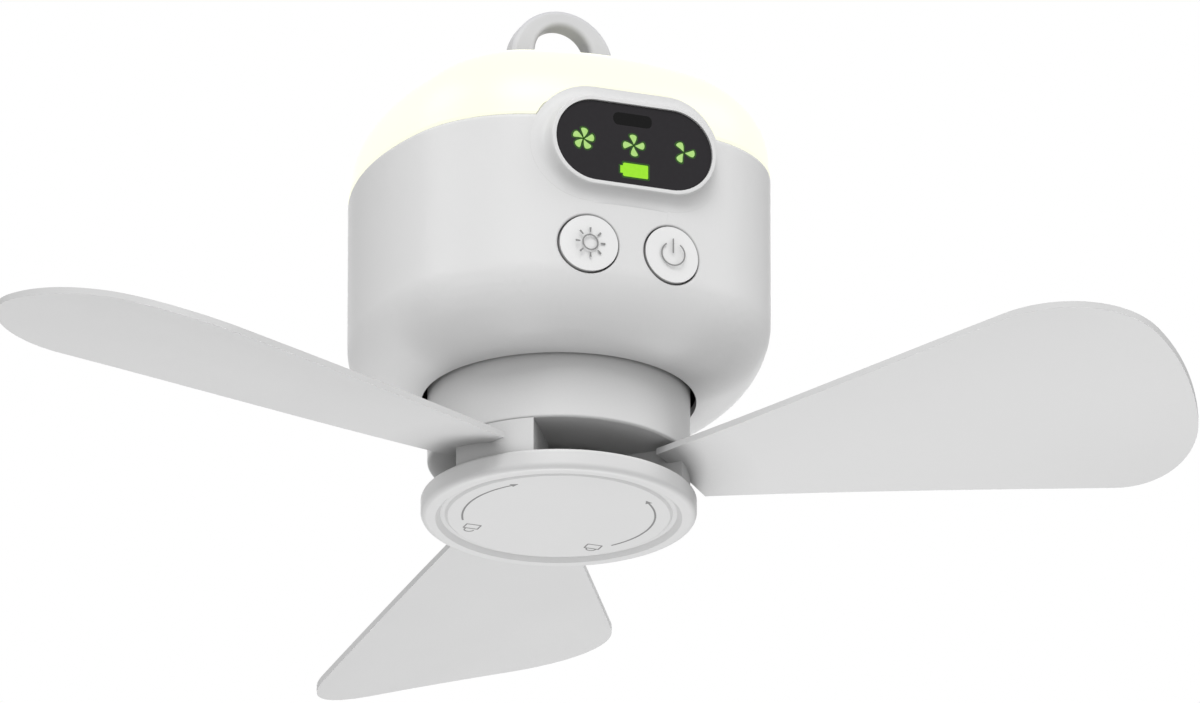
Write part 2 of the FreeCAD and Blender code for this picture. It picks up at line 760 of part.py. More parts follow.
def draw_arch(sketch, radius, level, tail):
    """Half circle over a level, closed by straight lines through the tail's points."""
    middle = number(level)
    arc = Part.ArcOfCircle(Part.Circle(V(0, middle, 0), V(0, 0, 1), number(radius)), 0, math.pi)
    first = sketch.GeometryCount
    sketch.addGeometry(arc, False)
    corners = [V(-number(radius), middle, 0)]
    corners += [V(number(x), number(y), 0) for x, y in tail]
    corners.append(V(number(radius), middle, 0))
    for one, other in zip(corners[:-1], corners[1:]):
        sketch.addGeometry(Part.LineSegment(one, other), False)
    lines = len(corners) - 1
    for step in range(lines + 1):
        following = first + (step + 1) % (lines + 1)
        sketch.addConstraint(Sketcher.Constraint("Coincident", first + step, 2, following, 1))
    fix_point(sketch, first, 3, "0", level)
    rule = sketch.addConstraint(Sketcher.Constraint("Radius", first, number(radius)))
    sketch.setExpression("Constraints[%d]" % rule, sized(radius))
    for end in (1, 2):
        rule = sketch.addConstraint(Sketcher.Constraint("DistanceY", -1, 1, first, end, middle))
        sketch.setExpression("Constraints[%d]" % rule, sized(level))
    for step, (x, y) in enumerate(tail):
        fix_point(sketch, first + 1 + step, 2, x, y)


def make_hook():
    """Flat arch with an eye, narrowed to a barrel that turns on the pin."""
    body = body_named("Hook")
    plan = sketch_on(body, "HookOutline", "XZ_Plane")
    tail = (
        ("-hook_half", "hook_shoulder"),
        ("-barrel_half", "hook_shoulder"),
        ("-barrel_half", "pivot_level"),
        ("barrel_half", "pivot_level"),
        ("barrel_half", "hook_shoulder"),
        ("hook_half", "hook_shoulder"),
    )
    draw_arch(plan, "hook_half", "hook_crown - hook_half", tail)
    pad(body, plan, "HookPad", "hook_thick", midplane=True)
    eye = sketch_on(body, "EyeOutline", "XZ_Plane", "hook_thick / 2 + 1")
    draw_arch(eye, "eye_radius", "0", (("-eye_radius", "-eye_drop"), ("eye_radius", "-eye_drop")))
    pocket(body, eye, "Eye", "hook_thick + 2")
    half = number("hook_half")
    drop = number("-eye_drop")
    shoulder = number("hook_shoulder")

    def outer_corner(points):
        return all(abs(abs(p.x) - half) < 0.02 and abs(p.z - shoulder) < 0.02 for p in points)

    def eye_corner(points):
        reach = number("eye_radius")
        return all(abs(abs(p.x) - reach) < 0.02 and abs(p.z - drop) < 0.02 for p in points)

    rounded(body, "ShoulderRound", "2.2", outer_corner)
    rounded(body, "EyeRound", "1.9", eye_corner)
    face = number("hook_thick / 2")
    limit = shoulder - 0.01
    rounded(
        body,
        "HookEdgeRound",
        "1.25",
        lambda points: all(abs(abs(p.y) - face) < 0.02 and p.z > limit for p in points),
    )
    barrel = rod_along_x("Barrel", "barrel_radius", "-barrel_half", "barrel_half", "0", "pivot_level")
    reach = "barrel_half + 1"
    bore = rod_along_x("BarrelBore", "pin_radius + running_gap", "-(%s)" % reach, reach, "0", "pivot_level")
    piece(cut("HangingHook", fused("HookBlank", body, barrel), bore), "hanging_hook")


def pill_plate(name, width, height, front, thick, level):
    """Pill-shaped plate facing the front."""
    body = body_named(name)
    outline = sketch_on(body, name + "Outline", "XZ_Plane", "(%s) - (%s)" % (front, thick))
    draw_pill(outline, width, height, "0", level)
    pad(body, outline, name + "Pad", thick)
    return body


def make_display():
    """Tinted window, light-blocking mask, board, light chips and the remote receiver."""
    window = pill_plate(
        "Window", "window_width", "window_height", "window_face", "window_thick", "display_level"
    )
    piece(window, "display_window")
    back = "window_face - window_thick"
    width = "window_width - 2 * window_ledge - 0.4"
    height = "window_height - 2 * window_ledge - 0.4"
    mask = pill_plate("Mask", width, height, back, "mask_thick", "display_level")
    openings = sketch_on(mask, "MaskOpenings", "XZ_Plane", back)
    for x in ("-mark_offset", "0", "mark_offset"):
        draw_circle(openings, "mark_radius", x, "display_level")
    draw_pill(openings, "10", "3.4", "0", "display_level + receiver_rise")
    draw_pill(openings, "7.4", "3.2", "0", "display_level - gauge_drop")
    pocket(mask, openings, "MaskHoles", "mask_thick + 1")
    piece(mask, "display_mask")
    rear = "window_face - window_thick - mask_thick"
    piece(pill_plate("ShowBoard", width, height, rear, "board_thick", "display_level"), "display_board")
    chips = []
    spots = (
        ("-mark_offset", "display_level"),
        ("0", "display_level"),
        ("mark_offset", "display_level"),
        ("0", "display_level - gauge_drop"),
    )
    for index, (x, z) in enumerate(spots):
        chips.append(
            block(
                "MarkChip%d" % index,
                "%s - 0.8" % x,
                "%s + 0.8" % x,
                "-(%s) - 0.7" % rear,
                "-(%s)" % rear,
                "%s - 0.8" % z,
                "%s + 0.8" % z,
            )
        )
    piece(group("MarkChips", chips), "display_chips")
    level = "display_level + receiver_rise"
    front = "-(%s) - 1.2" % rear
    case = block("EyeCase", "-3", "3", front, "-(%s)" % rear, level + " - 1.3", level + " + 1.3")
    lens = rod_along_y("EyeLens", "1", "-(%s) - 2.1" % rear, "-(%s) - 1.1" % rear, "0", level)
    piece(fused("RemoteEye", case, lens), "remote_receiver")


def make_button(name, side, label):
    """Push button: cap that follows the casing's bow, retaining flange, stem and switch plunger."""
    cap = rod_along_y(name + "Cap", "button_radius", "-half_width - 2", "-flange_face", side, "button_level")
    bow = rod(name + "Bow", "side_bow + button_proud", "button_level - 12", "button_level + 12", "0",
              "side_bow - half_width")
    face = doc.addObject("Part::MultiCommon", name + "Face")
    face.Shapes = [cap, bow]
    reach = "button_radius + 1.4"
    flange = rod_along_y(name + "Flange", reach, "-flange_face", "-flange_back", side, "button_level")
    stem = rod_along_y(name + "Stem", "2.2", "-flange_back", "-stem_end", side, "button_level")
    piece(fused(name, face, flange, stem), label + "_button")
    tail = "-switch_face + 1.4"
    plunger = rod_along_y(name + "Plunger", "1.7", "-stem_end", tail, side, "button_level")
    piece(plunger, label + "_switch_plunger")


def make_switches():
    """Switch board behind the buttons with two switch housings, held by four screws."""
    board = block(
        "SwitchPlate",
        "-switch_board_half_x",
        "switch_board_half_x",
        "-switch_board_face",
        "-switch_board_face + board_thick",
        "button_level - switch_board_half_z",
        "button_level + switch_board_half_z",
    )
    holes = []
    screws = []
    housings = []
    for side_index, sign in enumerate(("-", "")):
        for level_index, shift in enumerate(("-", "+")):
            x = "%sswitch_post_x" % sign
            z = "button_level %s switch_post_z" % shift
            tag = "%d%d" % (side_index, level_index)
            holes.append(
                rod_along_y("SwitchHole" + tag, "screw_radius + 0.2", "-switch_board_face - 1",
                            "-switch_board_face + 4", x, z)
            )
            screws.append(
                screw_along_y("SwitchScrew" + tag, x, z, "-switch_board_face + board_thick", "6", -1)
            )
        x = "%sbutton_offset" % sign
        case = block(
            "SwitchCase%d" % side_index,
            "%s - 3.1" % x,
            "%s + 3.1" % x,
            "-switch_face",
            "-switch_board_face",
            "button_level - 3.1",
            "button_level + 3.1",
        )
        name = "SwitchWell%d" % side_index
        well = rod_along_y(name, "2", "-switch_face - 1", "-switch_face + 2.2", x, "button_level")
        housings.append(cut("SwitchHousing%d" % side_index, case, well))
    piece(cut("SwitchBoard", board, *holes), "switch_board")
    piece(group("SwitchHousings", housings), "switch_housings")
    piece(group("SwitchScrews", screws), "switch_board_screws")


def make_charging():
    """Charging socket at the back, the main board that carries it, and the board's parts."""
    shell = body_named("Socket")
    outline = sketch_on(shell, "SocketOutline", "XZ_Plane", "-socket_mouth")
    draw_pill(outline, "socket_width", "socket_height", "0", "socket_level")
    pad(shell, outline, "SocketPad", "socket_mouth - main_board_face")
    mouth = sketch_on(shell, "SocketMouth", "XZ_Plane", "-socket_mouth")
    draw_pill(mouth, "socket_width - 0.7", "socket_height - 0.7", "0", "socket_level")
    pocket(shell, mouth, "SocketCavity", "6", True)
    tongue = block("Tongue", "-3.3", "3.3", "main_board_face + 1", "socket_mouth - 1",
                   "socket_level - 0.35", "socket_level + 0.35")
    piece(fused("ChargingSocket", shell, tongue), "charging_socket")
    board = block(
        "MainPlate",
        "-main_board_half_x",
        "main_board_half_x",
        "main_board_face - board_thick",
        "main_board_face",
        "main_board_base",
        "main_board_top",
    )
    holes = []
    screws = []
    for side_index, sign in enumerate(("-", "")):
        for level_index, z in enumerate(("main_post_low", "main_post_high")):
            x = "%smain_post_x" % sign
            tag = "%d%d" % (side_index, level_index)
            holes.append(
                rod_along_y("MainHole" + tag, "screw_radius + 0.2", "main_board_face - 4",
                            "main_board_face + 1", x, z)
            )
            screws.append(screw_along_y("MainScrew" + tag, x, z, "main_board_face - board_thick", "4.4", 1))
    piece(cut("MainBoard", board, *holes), "main_board")
    piece(group("MainScrews", screws), "main_board_screws")
    rear = "main_board_face - board_thick"
    parts = [
        block("Coil", "-9", "-2", rear + " - 4", rear, "socket_level + 1", "socket_level + 8"),
        block("Chip", "2", "9", rear + " - 1", rear, "socket_level + 2", "socket_level + 9"),
        block("Plug", "-5", "5", rear + " - 5", rear, "socket_level - 9", "socket_level - 3"),
        rod_along_y("CapacitorA", "2.5", rear + " - 6", rear, "13", "socket_level - 1"),
        rod_along_y("CapacitorB", "2.5", rear + " - 6", rear, "-13", "socket_level - 1"),
    ]
    piece(group("BoardParts", parts), "main_board_parts")


def make_battery():
    """Three cells in a screwed cradle, joined by end tabs and held down by a clamp."""
    cells = []
    for index, row in enumerate(("-cell_pitch", "0", "cell_pitch")):
        cells.append(
            rod_along_x(
                "Cell%d" % index, "cell_radius", "-cell_length / 2", "cell_length / 2", row, "cell_level"
            )
        )
    piece(group("Cells", cells), "battery_cells")
    tabs = []
    for name, x in (("TabLeft", "-cell_length / 2 - 0.2"), ("TabRight", "cell_length / 2")):
        right = x + " + 0.2"
        front = "-cell_pitch - 4"
        back = "cell_pitch + 4"
        tabs.append(block(name, x, right, front, back, "cell_level - 3", "cell_level + 3"))
    piece(group("CellTabs", tabs), "cell_tabs")
    floor = "cradle_base + cradle_wall"
    rim = "cell_level - 2"
    outer = block("CradleOuter", "-cradle_half_x", "cradle_half_x", "-cradle_half_y", "cradle_half_y",
                  "cradle_base", rim)
    inner = block("CradleInner", "-cradle_half_x + cradle_wall", "cradle_half_x - cradle_wall",
                  "-cradle_half_y + cradle_wall", "cradle_half_y - cradle_wall", floor, rim + " + 1")
    parts = [cut("CradleBox", outer, inner)]
    holes = []
    screws = []
    for side_index, sign in enumerate(("-", "")):
        low = "cradle_half_x - 0.5" if sign == "" else "-cradle_foot_x"
        high = "cradle_foot_x" if sign == "" else "-cradle_half_x + 0.5"
        for row_index, y in enumerate(("-cradle_foot_y", "cradle_foot_y")):
            tag = "%d%d" % (side_index, row_index)
            x = "%scradle_foot_x" % sign
            parts.append(rod("Foot" + tag, "3", "mount_top", floor, x, y))
            parts.append(block("Link" + tag, low, high, y + " - 3", y + " + 3", "cradle_base", floor))
            holes.append(rod("FootHole" + tag, "screw_radius + 0.2", "mount_top - 1", floor + " + 1", x, y))
            screws.append(screw_down("CradleScrew" + tag, x, y, floor, "9"))
    piece(cut("Cradle", fused("CradleBlank", *parts), *holes), "battery_cradle")
    piece(group("CradleScrews", screws), "cradle_screws")
    top = "cell_level + cell_radius + 0.15"
    bar = block("ClampBar", "-6", "6", "-cradle_half_y - 1.6", "cradle_half_y + 1.6", top, top + " + 1.6")
    legs = [
        block("ClampLegA", "-6", "6", "-cradle_half_y - 1.6", "-cradle_half_y", "cradle_base", top + " + 1"),
        block("ClampLegB", "-6", "6", "cradle_half_y", "cradle_half_y + 1.6", "cradle_base", top + " + 1"),
    ]
    piece(fused("CellClamp", bar, *legs), "cell_clamp")


def make_motor():
    """Fixed side of the motor and the turning parts on its shaft."""
    bore = "tube_outer - 2.9"
    mount = turned_body("Mount", (
        (bore, "tube_bottom + bearing_height"),
        ("bearing_outer", "tube_bottom + bearing_height"),
        ("bearing_outer", "tube_bottom"),
        ("tube_outer", "tube_bottom"),
        ("tube_outer", "mount_bottom"),
        ("mount_radius", "mount_bottom"),
        ("mount_radius", "mount_top"),
        ("bearing_outer", "mount_top"),
        ("bearing_outer", "mount_top - bearing_height"),
        (bore, "mount_top - bearing_height"),
    ))
    holes = []
    screws = []
    for index, angle in enumerate(DIAGONALS):
        x, y = on_ring("mount_post_ring", angle)
        name = "MountHole%d" % index
        holes.append(rod(name, "screw_radius + 0.2", "mount_bottom - 1", "mount_top + 1", x, y))
        screws.append(screw_down("MountScrew%d" % index, x, y, "mount_top", "6"))
    for side_index, sign in enumerate(("-", "")):
        for row_index, y in enumerate(("-cradle_foot_y", "cradle_foot_y")):
            name = "MountPilot%d%d" % (side_index, row_index)
            x = "%scradle_foot_x" % sign
            holes.append(rod(name, "screw_radius + pilot_gap", "mount_bottom - 1", "mount_top + 1", x, y))
    piece(cut("MotorMount", mount, *holes), "motor_mount")
    piece(group("MountScrews", screws), "motor_mount_screws")
    bearings = []
    for name, low in (("BearingLow", "tube_bottom"), ("BearingHigh", "mount_top - bearing_height")):
        high = "(%s) + bearing_height" % low
        ring = rod(name + "Ring", "bearing_outer", low, high)
        bore = rod(name + "Bore", "shaft_radius + running_gap", "(%s) - 1" % low, high + " + 1")
        bearings.append(cut(name, ring, bore))
    piece(group("Bearings", bearings), "shaft_bearings")
    make_stator()
    make_rotor()


def make_stator():
    """Laminated core with nine shoed teeth, and a coil around each tooth."""
    base = "stator_top - stator_height"
    hub = rod("CoreHub", "10", base, "stator_top")
    rim = cut(
        "CoreRim",
        rod("CoreRimOuter", "stator_outer", base, "stator_top"),
        rod("CoreRimInner", "stator_outer - 2", base + " - 1", "stator_top + 1"),
    )
    teeth = []
    slots = []
    coils = []
    for index in range(9):
        angle = index * 40
        teeth.append(turned_box("Tooth%d" % index, "9", "3", "stator_height", "14", base, angle))
        tall = "stator_height + 2"
        slots.append(turned_box("Slot%d" % index, "5", "2.4", tall, "19", base, angle + 20, "-1"))
        tall = "stator_height + 3"
        coil = turned_box("CoilOuter%d" % index, "6.6", "5.4", tall, "14", base, angle, "-1.5")
        tall = "stator_height + 0.06"
        hole = turned_box("CoilHole%d" % index, "8", "3.06", tall, "14", base, angle, "-0.03")
        coils.append(cut("Coil%d" % index, coil, hole))
    bore = rod("CoreBore", "tube_outer", base + " - 1", "stator_top + 1")
    piece(cut("StatorCore", fused("CoreBlank", hub, rim, *teeth), bore, *slots), "stator_core")
    piece(group("StatorCoils", coils), "stator_coils")


def make_rotor():
    """Shaft, clip, steel can and magnet ring."""
    piece(rod("Shaft", "shaft_radius", "drum_face + 1.1", "mount_top + 1"), "motor_shaft")
    clip = rod("ClipDisc", "3", "mount_top + 0.1", "mount_top + 0.6")
    piece(cut("Clip", clip, rod("ClipBore", "shaft_radius", "mount_top", "mount_top + 1")), "shaft_clip")
    can = turned_body("Can", (
        ("shaft_radius", "can_floor"),
        ("can_outer", "can_floor"),
        ("can_outer", "can_top"),
        ("can_outer - can_wall", "can_top"),
        ("can_outer - can_wall", "can_floor + can_wall"),
        ("4", "can_floor + can_wall"),
        ("4", "can_floor + 2.6"),
        ("shaft_radius", "can_floor + 2.6"),
    ))
    holes = []
    screws = []
    for index in range(3):
        x, y = on_ring("9", 30 + index * 120)
        holes.append(rod("CanHole%d" % index, "screw_radius + 0.2", "can_floor - 1", "can_floor + 3", x, y))
        screws.append(screw_down("CanScrew%d" % index, x, y, "can_floor + can_wall", "4.6"))
    piece(cut("RotorCan", can, *holes), "rotor_can")
    piece(group("CanScrews", screws), "rotor_screws")
    ring = rod("MagnetDisc", "magnet_outer", "can_floor + can_wall + 1", "can_top - 1")
    bore = rod("MagnetBore", "magnet_inner", "can_floor + can_wall", "can_top")
    piece(cut("MagnetRing", ring, bore), "magnet_ring")


def make_drum():
    """Turning drum: cup with a closed face, blade pegs and a spigot with three bayonet lugs."""
    spigot_end = "cap_top + 0.3"
    body = turned_body("Drum", (
        ("0", "drum_face + 1"),
        ("shaft_radius", "drum_face + 1"),
        ("shaft_radius", "can_floor"),
        ("13", "can_floor"),
        ("13", "drum_face + drum_floor_thick"),
        ("drum_radius - drum_wall", "drum_face + drum_floor_thick"),
        ("drum_radius - drum_wall", "drum_top"),
        ("drum_radius", "drum_top"),
        ("drum_radius", "drum_face"),
        ("spigot_radius", "drum_face"),
        ("spigot_radius", spigot_end),
        ("0", spigot_end),
    ))
    rounded(body, "DrumRound", "0.7", at_level("drum_face", number("drum_radius") - 0.1))
    parts = [body]
    for index in range(3):
        start = "%d - lug_half_angle" % (index * 120)
        lug = rod("Lug%d" % index, "spigot_radius + lug_reach", "lug_level", "lug_level + lug_height",
                  sector="2 * lug_half_angle", start=number(start))
        bind(lug, Placement__Rotation__Angle=start)
        parts.append(lug)
        for name, ring in (("PegInner", "peg_ring_inner"), ("PegOuter", "peg_ring_outer")):
            angle = index * 120 + number("blade_turn + (block_start + block_end) / 2")
            x, y = on_ring(ring, angle)
            low = "drum_face - peg_length"
            parts.append(rod("%s%d" % (name, index), "peg_radius", low, "drum_face + 1", x, y))
    pilots = []
    for index in range(3):
        x, y = on_ring("9", 30 + index * 120)
        pilots.append(
            rod("DrumPilot%d" % index, "screw_radius + pilot_gap", "drum_face + 1.2", "can_floor + 1", x, y)
        )
    piece(cut("TurningDrum", fused("DrumBlank", *parts), *pilots), "hub_drum")


def make_cap():
    """Twist-lock cap: dished face, hollow rim and a collar with three hooked slots."""
    inner = "spigot_radius + running_gap"
    outer = "spigot_radius + running_gap + collar_wall"
    body = turned_body("LockCap", (
        ("0", "cap_face + 0.6"),
        ("27.2", "cap_face + 0.6"),
        ("27.9", "cap_face + 1.1"),
        ("29", "cap_face + 1.1"),
        ("30.2", "cap_face"),
        ("cap_radius", "cap_face"),
        ("cap_radius", "cap_top"),
        ("cap_radius - 5", "cap_top"),
        ("cap_radius - 5", "cap_face + 2.8"),
        ("spigot_radius + 6", "cap_face + 2.8"),
        ("spigot_radius + 6", "cap_top"),
        (outer, "cap_top"),
        (outer, "collar_top"),
        (inner, "collar_top"),
        (inner, "cap_top"),
        ("0", "cap_top"),
    ))
    edge = number("cap_radius") - 0.1
    rounded(body, "CapFaceRound", "1.6", at_level("cap_face", edge))
    rounded(body, "CapTopRound", "0.8", at_level("cap_top", edge))
    tools = []
    for index in range(3):
        run_start = "%d - twist_angle - lug_half_angle - 1.5" % (index * 120)
        low = "lug_level - 0.15"
        run = rod("SlotRun%d" % index, outer + " + 1", low, "lug_level + lug_height + 0.15",
                  sector="twist_angle + 2 * lug_half_angle + 3", start=number(run_start))
        bind(run, Placement__Rotation__Angle=run_start)
        entry = rod("SlotEntry%d" % index, outer + " + 1", low, "collar_top + 1",
                    sector="2 * lug_half_angle + 3", start=number(run_start))
        bind(entry, Placement__Rotation__Angle=run_start)
        tools += [run, entry]
    piece(cut("TwistCap", body, *tools), "lock_cap")


def draw_blade_strip(sketch):
    """Thin bowed strip: two arcs about one centre joined by short ends."""
    radii = ("blade_camber_radius + blade_thick / 2", "blade_camber_radius - blade_thick / 2")
    ends = ("-66", "42")
    middle = V(0, -number("blade_camber_radius"), 0)
    corners = []
    for radius in radii:
        size = number(radius)
        left = math.pi / 2 + math.asin(-number(ends[0]) / size)
        right = math.pi / 2 - math.asin(number(ends[1]) / size)
        sketch.addGeometry(Part.ArcOfCircle(Part.Circle(middle, V(0, 0, 1), size), right, left), False)
        for turn in (right, left):
            corners.append(V(middle.x + size * math.cos(turn), middle.y + size * math.sin(turn), 0))
    sketch.addGeometry(Part.LineSegment(corners[1], corners[3]), False)
    sketch.addGeometry(Part.LineSegment(corners[2], corners[0]), False)
    for one, one_end, other, other_end in ((0, 2, 2, 1), (2, 2, 1, 2), (1, 1, 3, 1), (3, 2, 0, 1)):
        sketch.addConstraint(Sketcher.Constraint("Coincident", one, one_end, other, other_end))
    for index, radius in enumerate(radii):
        fix_point(sketch, index, 3, "0", "-blade_camber_radius")
        rule = sketch.addConstraint(Sketcher.Constraint("Radius", index, number(radius)))
        sketch.setExpression("Constraints[%d]" % rule, sized(radius))
        for end, x in ((1, ends[1]), (2, ends[0])):
            sketch.addConstraint(Sketcher.Constraint("DistanceX", -1, 1, index, end, float(x)))


def round_centre(start, end, radius, centre, bow):
    """Centre of the rounding between a straight edge and the bowed tip, and where it leaves the edge."""
    along = (end - start).normalize()
    inward = V(-along.y, along.x, 0)
    if inward.dot(centre - start) < 0:
        inward = -inward
    origin = start + inward * radius - centre
    half = origin.dot(along)
    reach = -half + math.sqrt(half ** 2 - origin.dot(origin) + (bow - radius) ** 2)
    return start + along * reach + inward * radius, start + along * reach


def draw_blade_outline(sketch):
    """Paddle outline: straight flaring edges, a bowed tip and two large tangent roundings."""
    corners = (
        ("root_high_x", "root_high_y"),
        ("tip_high_x", "tip_high_y"),
        ("tip_low_x", "tip_low_y"),
        ("root_low_x", "root_low_y"),
    )
    points = [V(number(x), number(y), 0) for x, y in corners]
    chord = points[2] - points[1]
    bow = number("tip_bow")
    middle = (points[1] + points[2]) * 0.5
    inward = V(-chord.y, chord.x, 0).normalize()
    centre = middle + inward * math.sqrt(bow ** 2 - (chord.Length / 2) ** 2)
    high = number("tip_high_round")
    low = number("tip_low_round")
    high_centre, high_point = round_centre(points[0], points[1], high, centre, bow)
    low_centre, low_point = round_centre(points[3], points[2], low, centre, bow)
    high_turn = math.atan2(high_centre.y - centre.y, high_centre.x - centre.x)
    low_turn = math.atan2(low_centre.y - centre.y, low_centre.x - centre.x)
    high_start = math.atan2(high_point.y - high_centre.y, high_point.x - high_centre.x)
    low_end = math.atan2(low_point.y - low_centre.y, low_point.x - low_centre.x)
    arcs = (
        (high_centre, high, high_start, high_turn, "tip_high_round"),
        (centre, bow, high_turn, low_turn, "tip_bow"),
        (low_centre, low, low_turn, low_end, "tip_low_round"),
    )
    first = sketch.GeometryCount
    sketch.addGeometry(Part.LineSegment(points[0], high_point), False)
    for arc_centre, radius, start, end, _ in arcs:
        circle = Part.Circle(arc_centre, V(0, 0, 1), radius)
        sketch.addGeometry(Part.ArcOfCircle(circle, start, end), False)
    sketch.addGeometry(Part.LineSegment(low_point, points[3]), False)
    sketch.addGeometry(Part.LineSegment(points[3], points[0]), False)
    for step in range(4):
        sketch.addConstraint(Sketcher.Constraint("Tangent", first + step, 2, first + step + 1, 1))
    for one, other in ((4, 5), (5, 0)):
        sketch.addConstraint(Sketcher.Constraint("Coincident", first + one, 2, first + other, 1))
    for step, (_, radius, _, _, alias) in enumerate(arcs):
        rule = sketch.addConstraint(Sketcher.Constraint("Radius", first + 1 + step, radius))
        sketch.setExpression("Constraints[%d]" % rule, sized(alias))
    fix_point(sketch, first, 1, *corners[0])
    fix_point(sketch, first + 5, 1, *corners[3])
    for corner, edge in ((1, 0), (2, 4)):
        mark = sketch.addGeometry(Part.Point(points[corner]), True)
        fix_point(sketch, mark, 1, *corners[corner])
        sketch.addConstraint(Sketcher.Constraint("PointOnObject", mark, 1, first + edge))
        sketch.addConstraint(Sketcher.Constraint("PointOnObject", mark, 1, first + 2))


def make_blade(index):
    """Twisted, cambered blade trimmed to its outline, on the root block that the cap clamps."""
    name = "Blade%d" % index
    body = body_named(name)
    sections = []
    for step, reach in enumerate((20, 52, 84, 116, 142, 170)):
        share = "((%s - blade_root) / blade_span)" % reach
        turn = "-(pitch_root + pitch_gain * %s - pitch_ease * %s ^ 2)" % (share, share)
        section = sketch_on(body, "%sSection%d" % (name, step), "YZ_Plane", str(reach), turn)
        rise = "blade_root_level + rise_gain * %s - rise_ease * %s ^ 2" % (share, share)
        bind(section, AttachmentOffset__Base__y=rise)
        draw_blade_strip(section)
        sections.append(section)
    doc.recompute()
    loft = body.newObject("PartDesign::AdditiveLoft", name + "Loft")
    loft.Profile = sections[0]
    loft.Sections = sections[1:]
    loft.Ruled = False
    doc.recompute()
    trim = sketch_on(body, name + "Trim", "XY_Plane", "blade_root_level + 40")
    draw_polygon(trim, (("-10", "-110"), ("200", "-110"), ("200", "90"), ("-10", "90")))
    draw_blade_outline(trim)
    pocket(body, trim, name + "Outline", "80")
    root = doc.addObject("Part::Cylinder", name + "Root")
    bind(root, Radius="drum_radius", Height="drum_face - cap_top - 0.1", Angle="block_end - block_start")
    place(root, "0", "0", "cap_top + 0.1", (0, 0, 1), number("block_start"))
    bind(root, Placement__Rotation__Angle="block_start")
    reach = "spigot_radius + running_gap + collar_wall + slip_gap"
    core = rod(name + "Core", reach, "cap_top - 1", "drum_face + 1")
    holes = [core]
    middle = number("(block_start + block_end) / 2")
    for tag, ring in (("PegHoleInner", "peg_ring_inner"), ("PegHoleOuter", "peg_ring_outer")):
        x, y = on_ring(ring, middle)
        holes.append(
            rod(name + tag, "peg_radius + 0.05", "drum_face - peg_length - 0.3", "drum_face + 1", x, y)
        )
    blade = cut(name + "Whole", fused(name + "Blank", body, root), *holes)
    turn = "blade_turn + %d" % (index * 120)
    blade.Placement = FreeCAD.Placement(V(0, 0, 0), FreeCAD.Rotation(V(0, 0, 1), number(turn)))
    bind(blade, Placement__Rotation__Angle=turn)
    piece(blade, "blade_%d" % (index + 1))


make_casing()
make_lamp_diffuser()
make_lamp_tray()
make_lamp_board()
make_hook_base()
make_hook()
make_display()
make_button("Light", "-button_offset", "light")
make_button("Power", "button_offset", "power")
make_switches()
make_charging()
make_battery()
make_motor()
make_drum()
make_cap()
for blade_index in range(3):
    make_blade(blade_index)


doc.recompute()
for item in doc.Objects:
    if "Invalid" in item.State or "Error" in item.State:
        raise ValueError("%s did not compute: %s" % (item.Label, item.State))
for node in NODES:
    if node.Shape.isNull() or not node.Shape.isValid():
        raise ValueError("%s is not a valid solid" % node.Label)
os.makedirs("parts", exist_ok=True)
for node in NODES:
    node.Shape.exportStep("parts/%s.step" % node.Label)
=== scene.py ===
import math

import bmesh
import bpy
from mathutils import Matrix, Vector


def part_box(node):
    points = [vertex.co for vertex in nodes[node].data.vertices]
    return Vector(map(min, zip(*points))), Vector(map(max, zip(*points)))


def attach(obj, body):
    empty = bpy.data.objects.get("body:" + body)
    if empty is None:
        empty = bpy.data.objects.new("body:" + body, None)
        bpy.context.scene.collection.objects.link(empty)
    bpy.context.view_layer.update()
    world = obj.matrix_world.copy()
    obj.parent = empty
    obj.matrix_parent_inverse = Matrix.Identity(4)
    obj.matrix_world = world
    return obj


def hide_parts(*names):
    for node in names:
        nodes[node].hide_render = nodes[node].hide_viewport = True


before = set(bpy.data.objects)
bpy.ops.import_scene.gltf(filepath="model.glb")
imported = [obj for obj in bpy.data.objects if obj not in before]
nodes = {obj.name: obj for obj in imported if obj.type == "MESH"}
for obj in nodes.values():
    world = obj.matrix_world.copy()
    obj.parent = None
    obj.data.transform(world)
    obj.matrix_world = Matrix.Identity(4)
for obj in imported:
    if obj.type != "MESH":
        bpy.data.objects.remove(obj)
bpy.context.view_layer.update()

# Casing. The body shell is one injection moulding in white ABS. Its mould was spark eroded to a
# fine satin skin. The motor plate and the boards are screwed to posts inside it.

MM = 0.001
CASING_WHITE = "#e4e4e4"
CASING_SHADE = "#dfdfdf"
MOULD_GRAIN_MM = 0.5        # the real skin is about 0.1 mm, drawn coarser so that it shows at all
# Painted shade in the moulded plastics reaches this far from other surfaces.
PAINTED_SHADE_REACH_MM = 17.0            # as far as the overhang of the casing over the drum
SINK_PATCH_MM = 38.0        # slow change of gloss where thick and thin walls cool apart


def linear(colour):
    """An sRGB hex colour as linear red, green, blue and alpha."""
    values = [int(colour[start:start + 2], 16) / 255 for start in (1, 3, 5)]
    plain = [v / 12.92 if v <= 0.04045 else ((v + 0.055) / 1.055) ** 2.4 for v in values]
    return (*plain, 1.0)


def add(material, kind, settings=None, inputs=None):
    """Adds one node to a material or world, with its settings and its values or links."""
    tree = material.node_tree
    item = tree.nodes.new("ShaderNode" + kind)
    for name, value in (settings or {}).items():
        setattr(item, name, value)
    for name, value in (inputs or {}).items():
        if isinstance(value, bpy.types.NodeSocket):
            tree.links.new(value, item.inputs[name])
        else:
            item.inputs[name].default_value = value
    return item


def new_material(name):
    """An empty node material."""
    material = bpy.data.materials.new(name)
    material.use_nodes = True
    material.node_tree.nodes.clear()
    return material


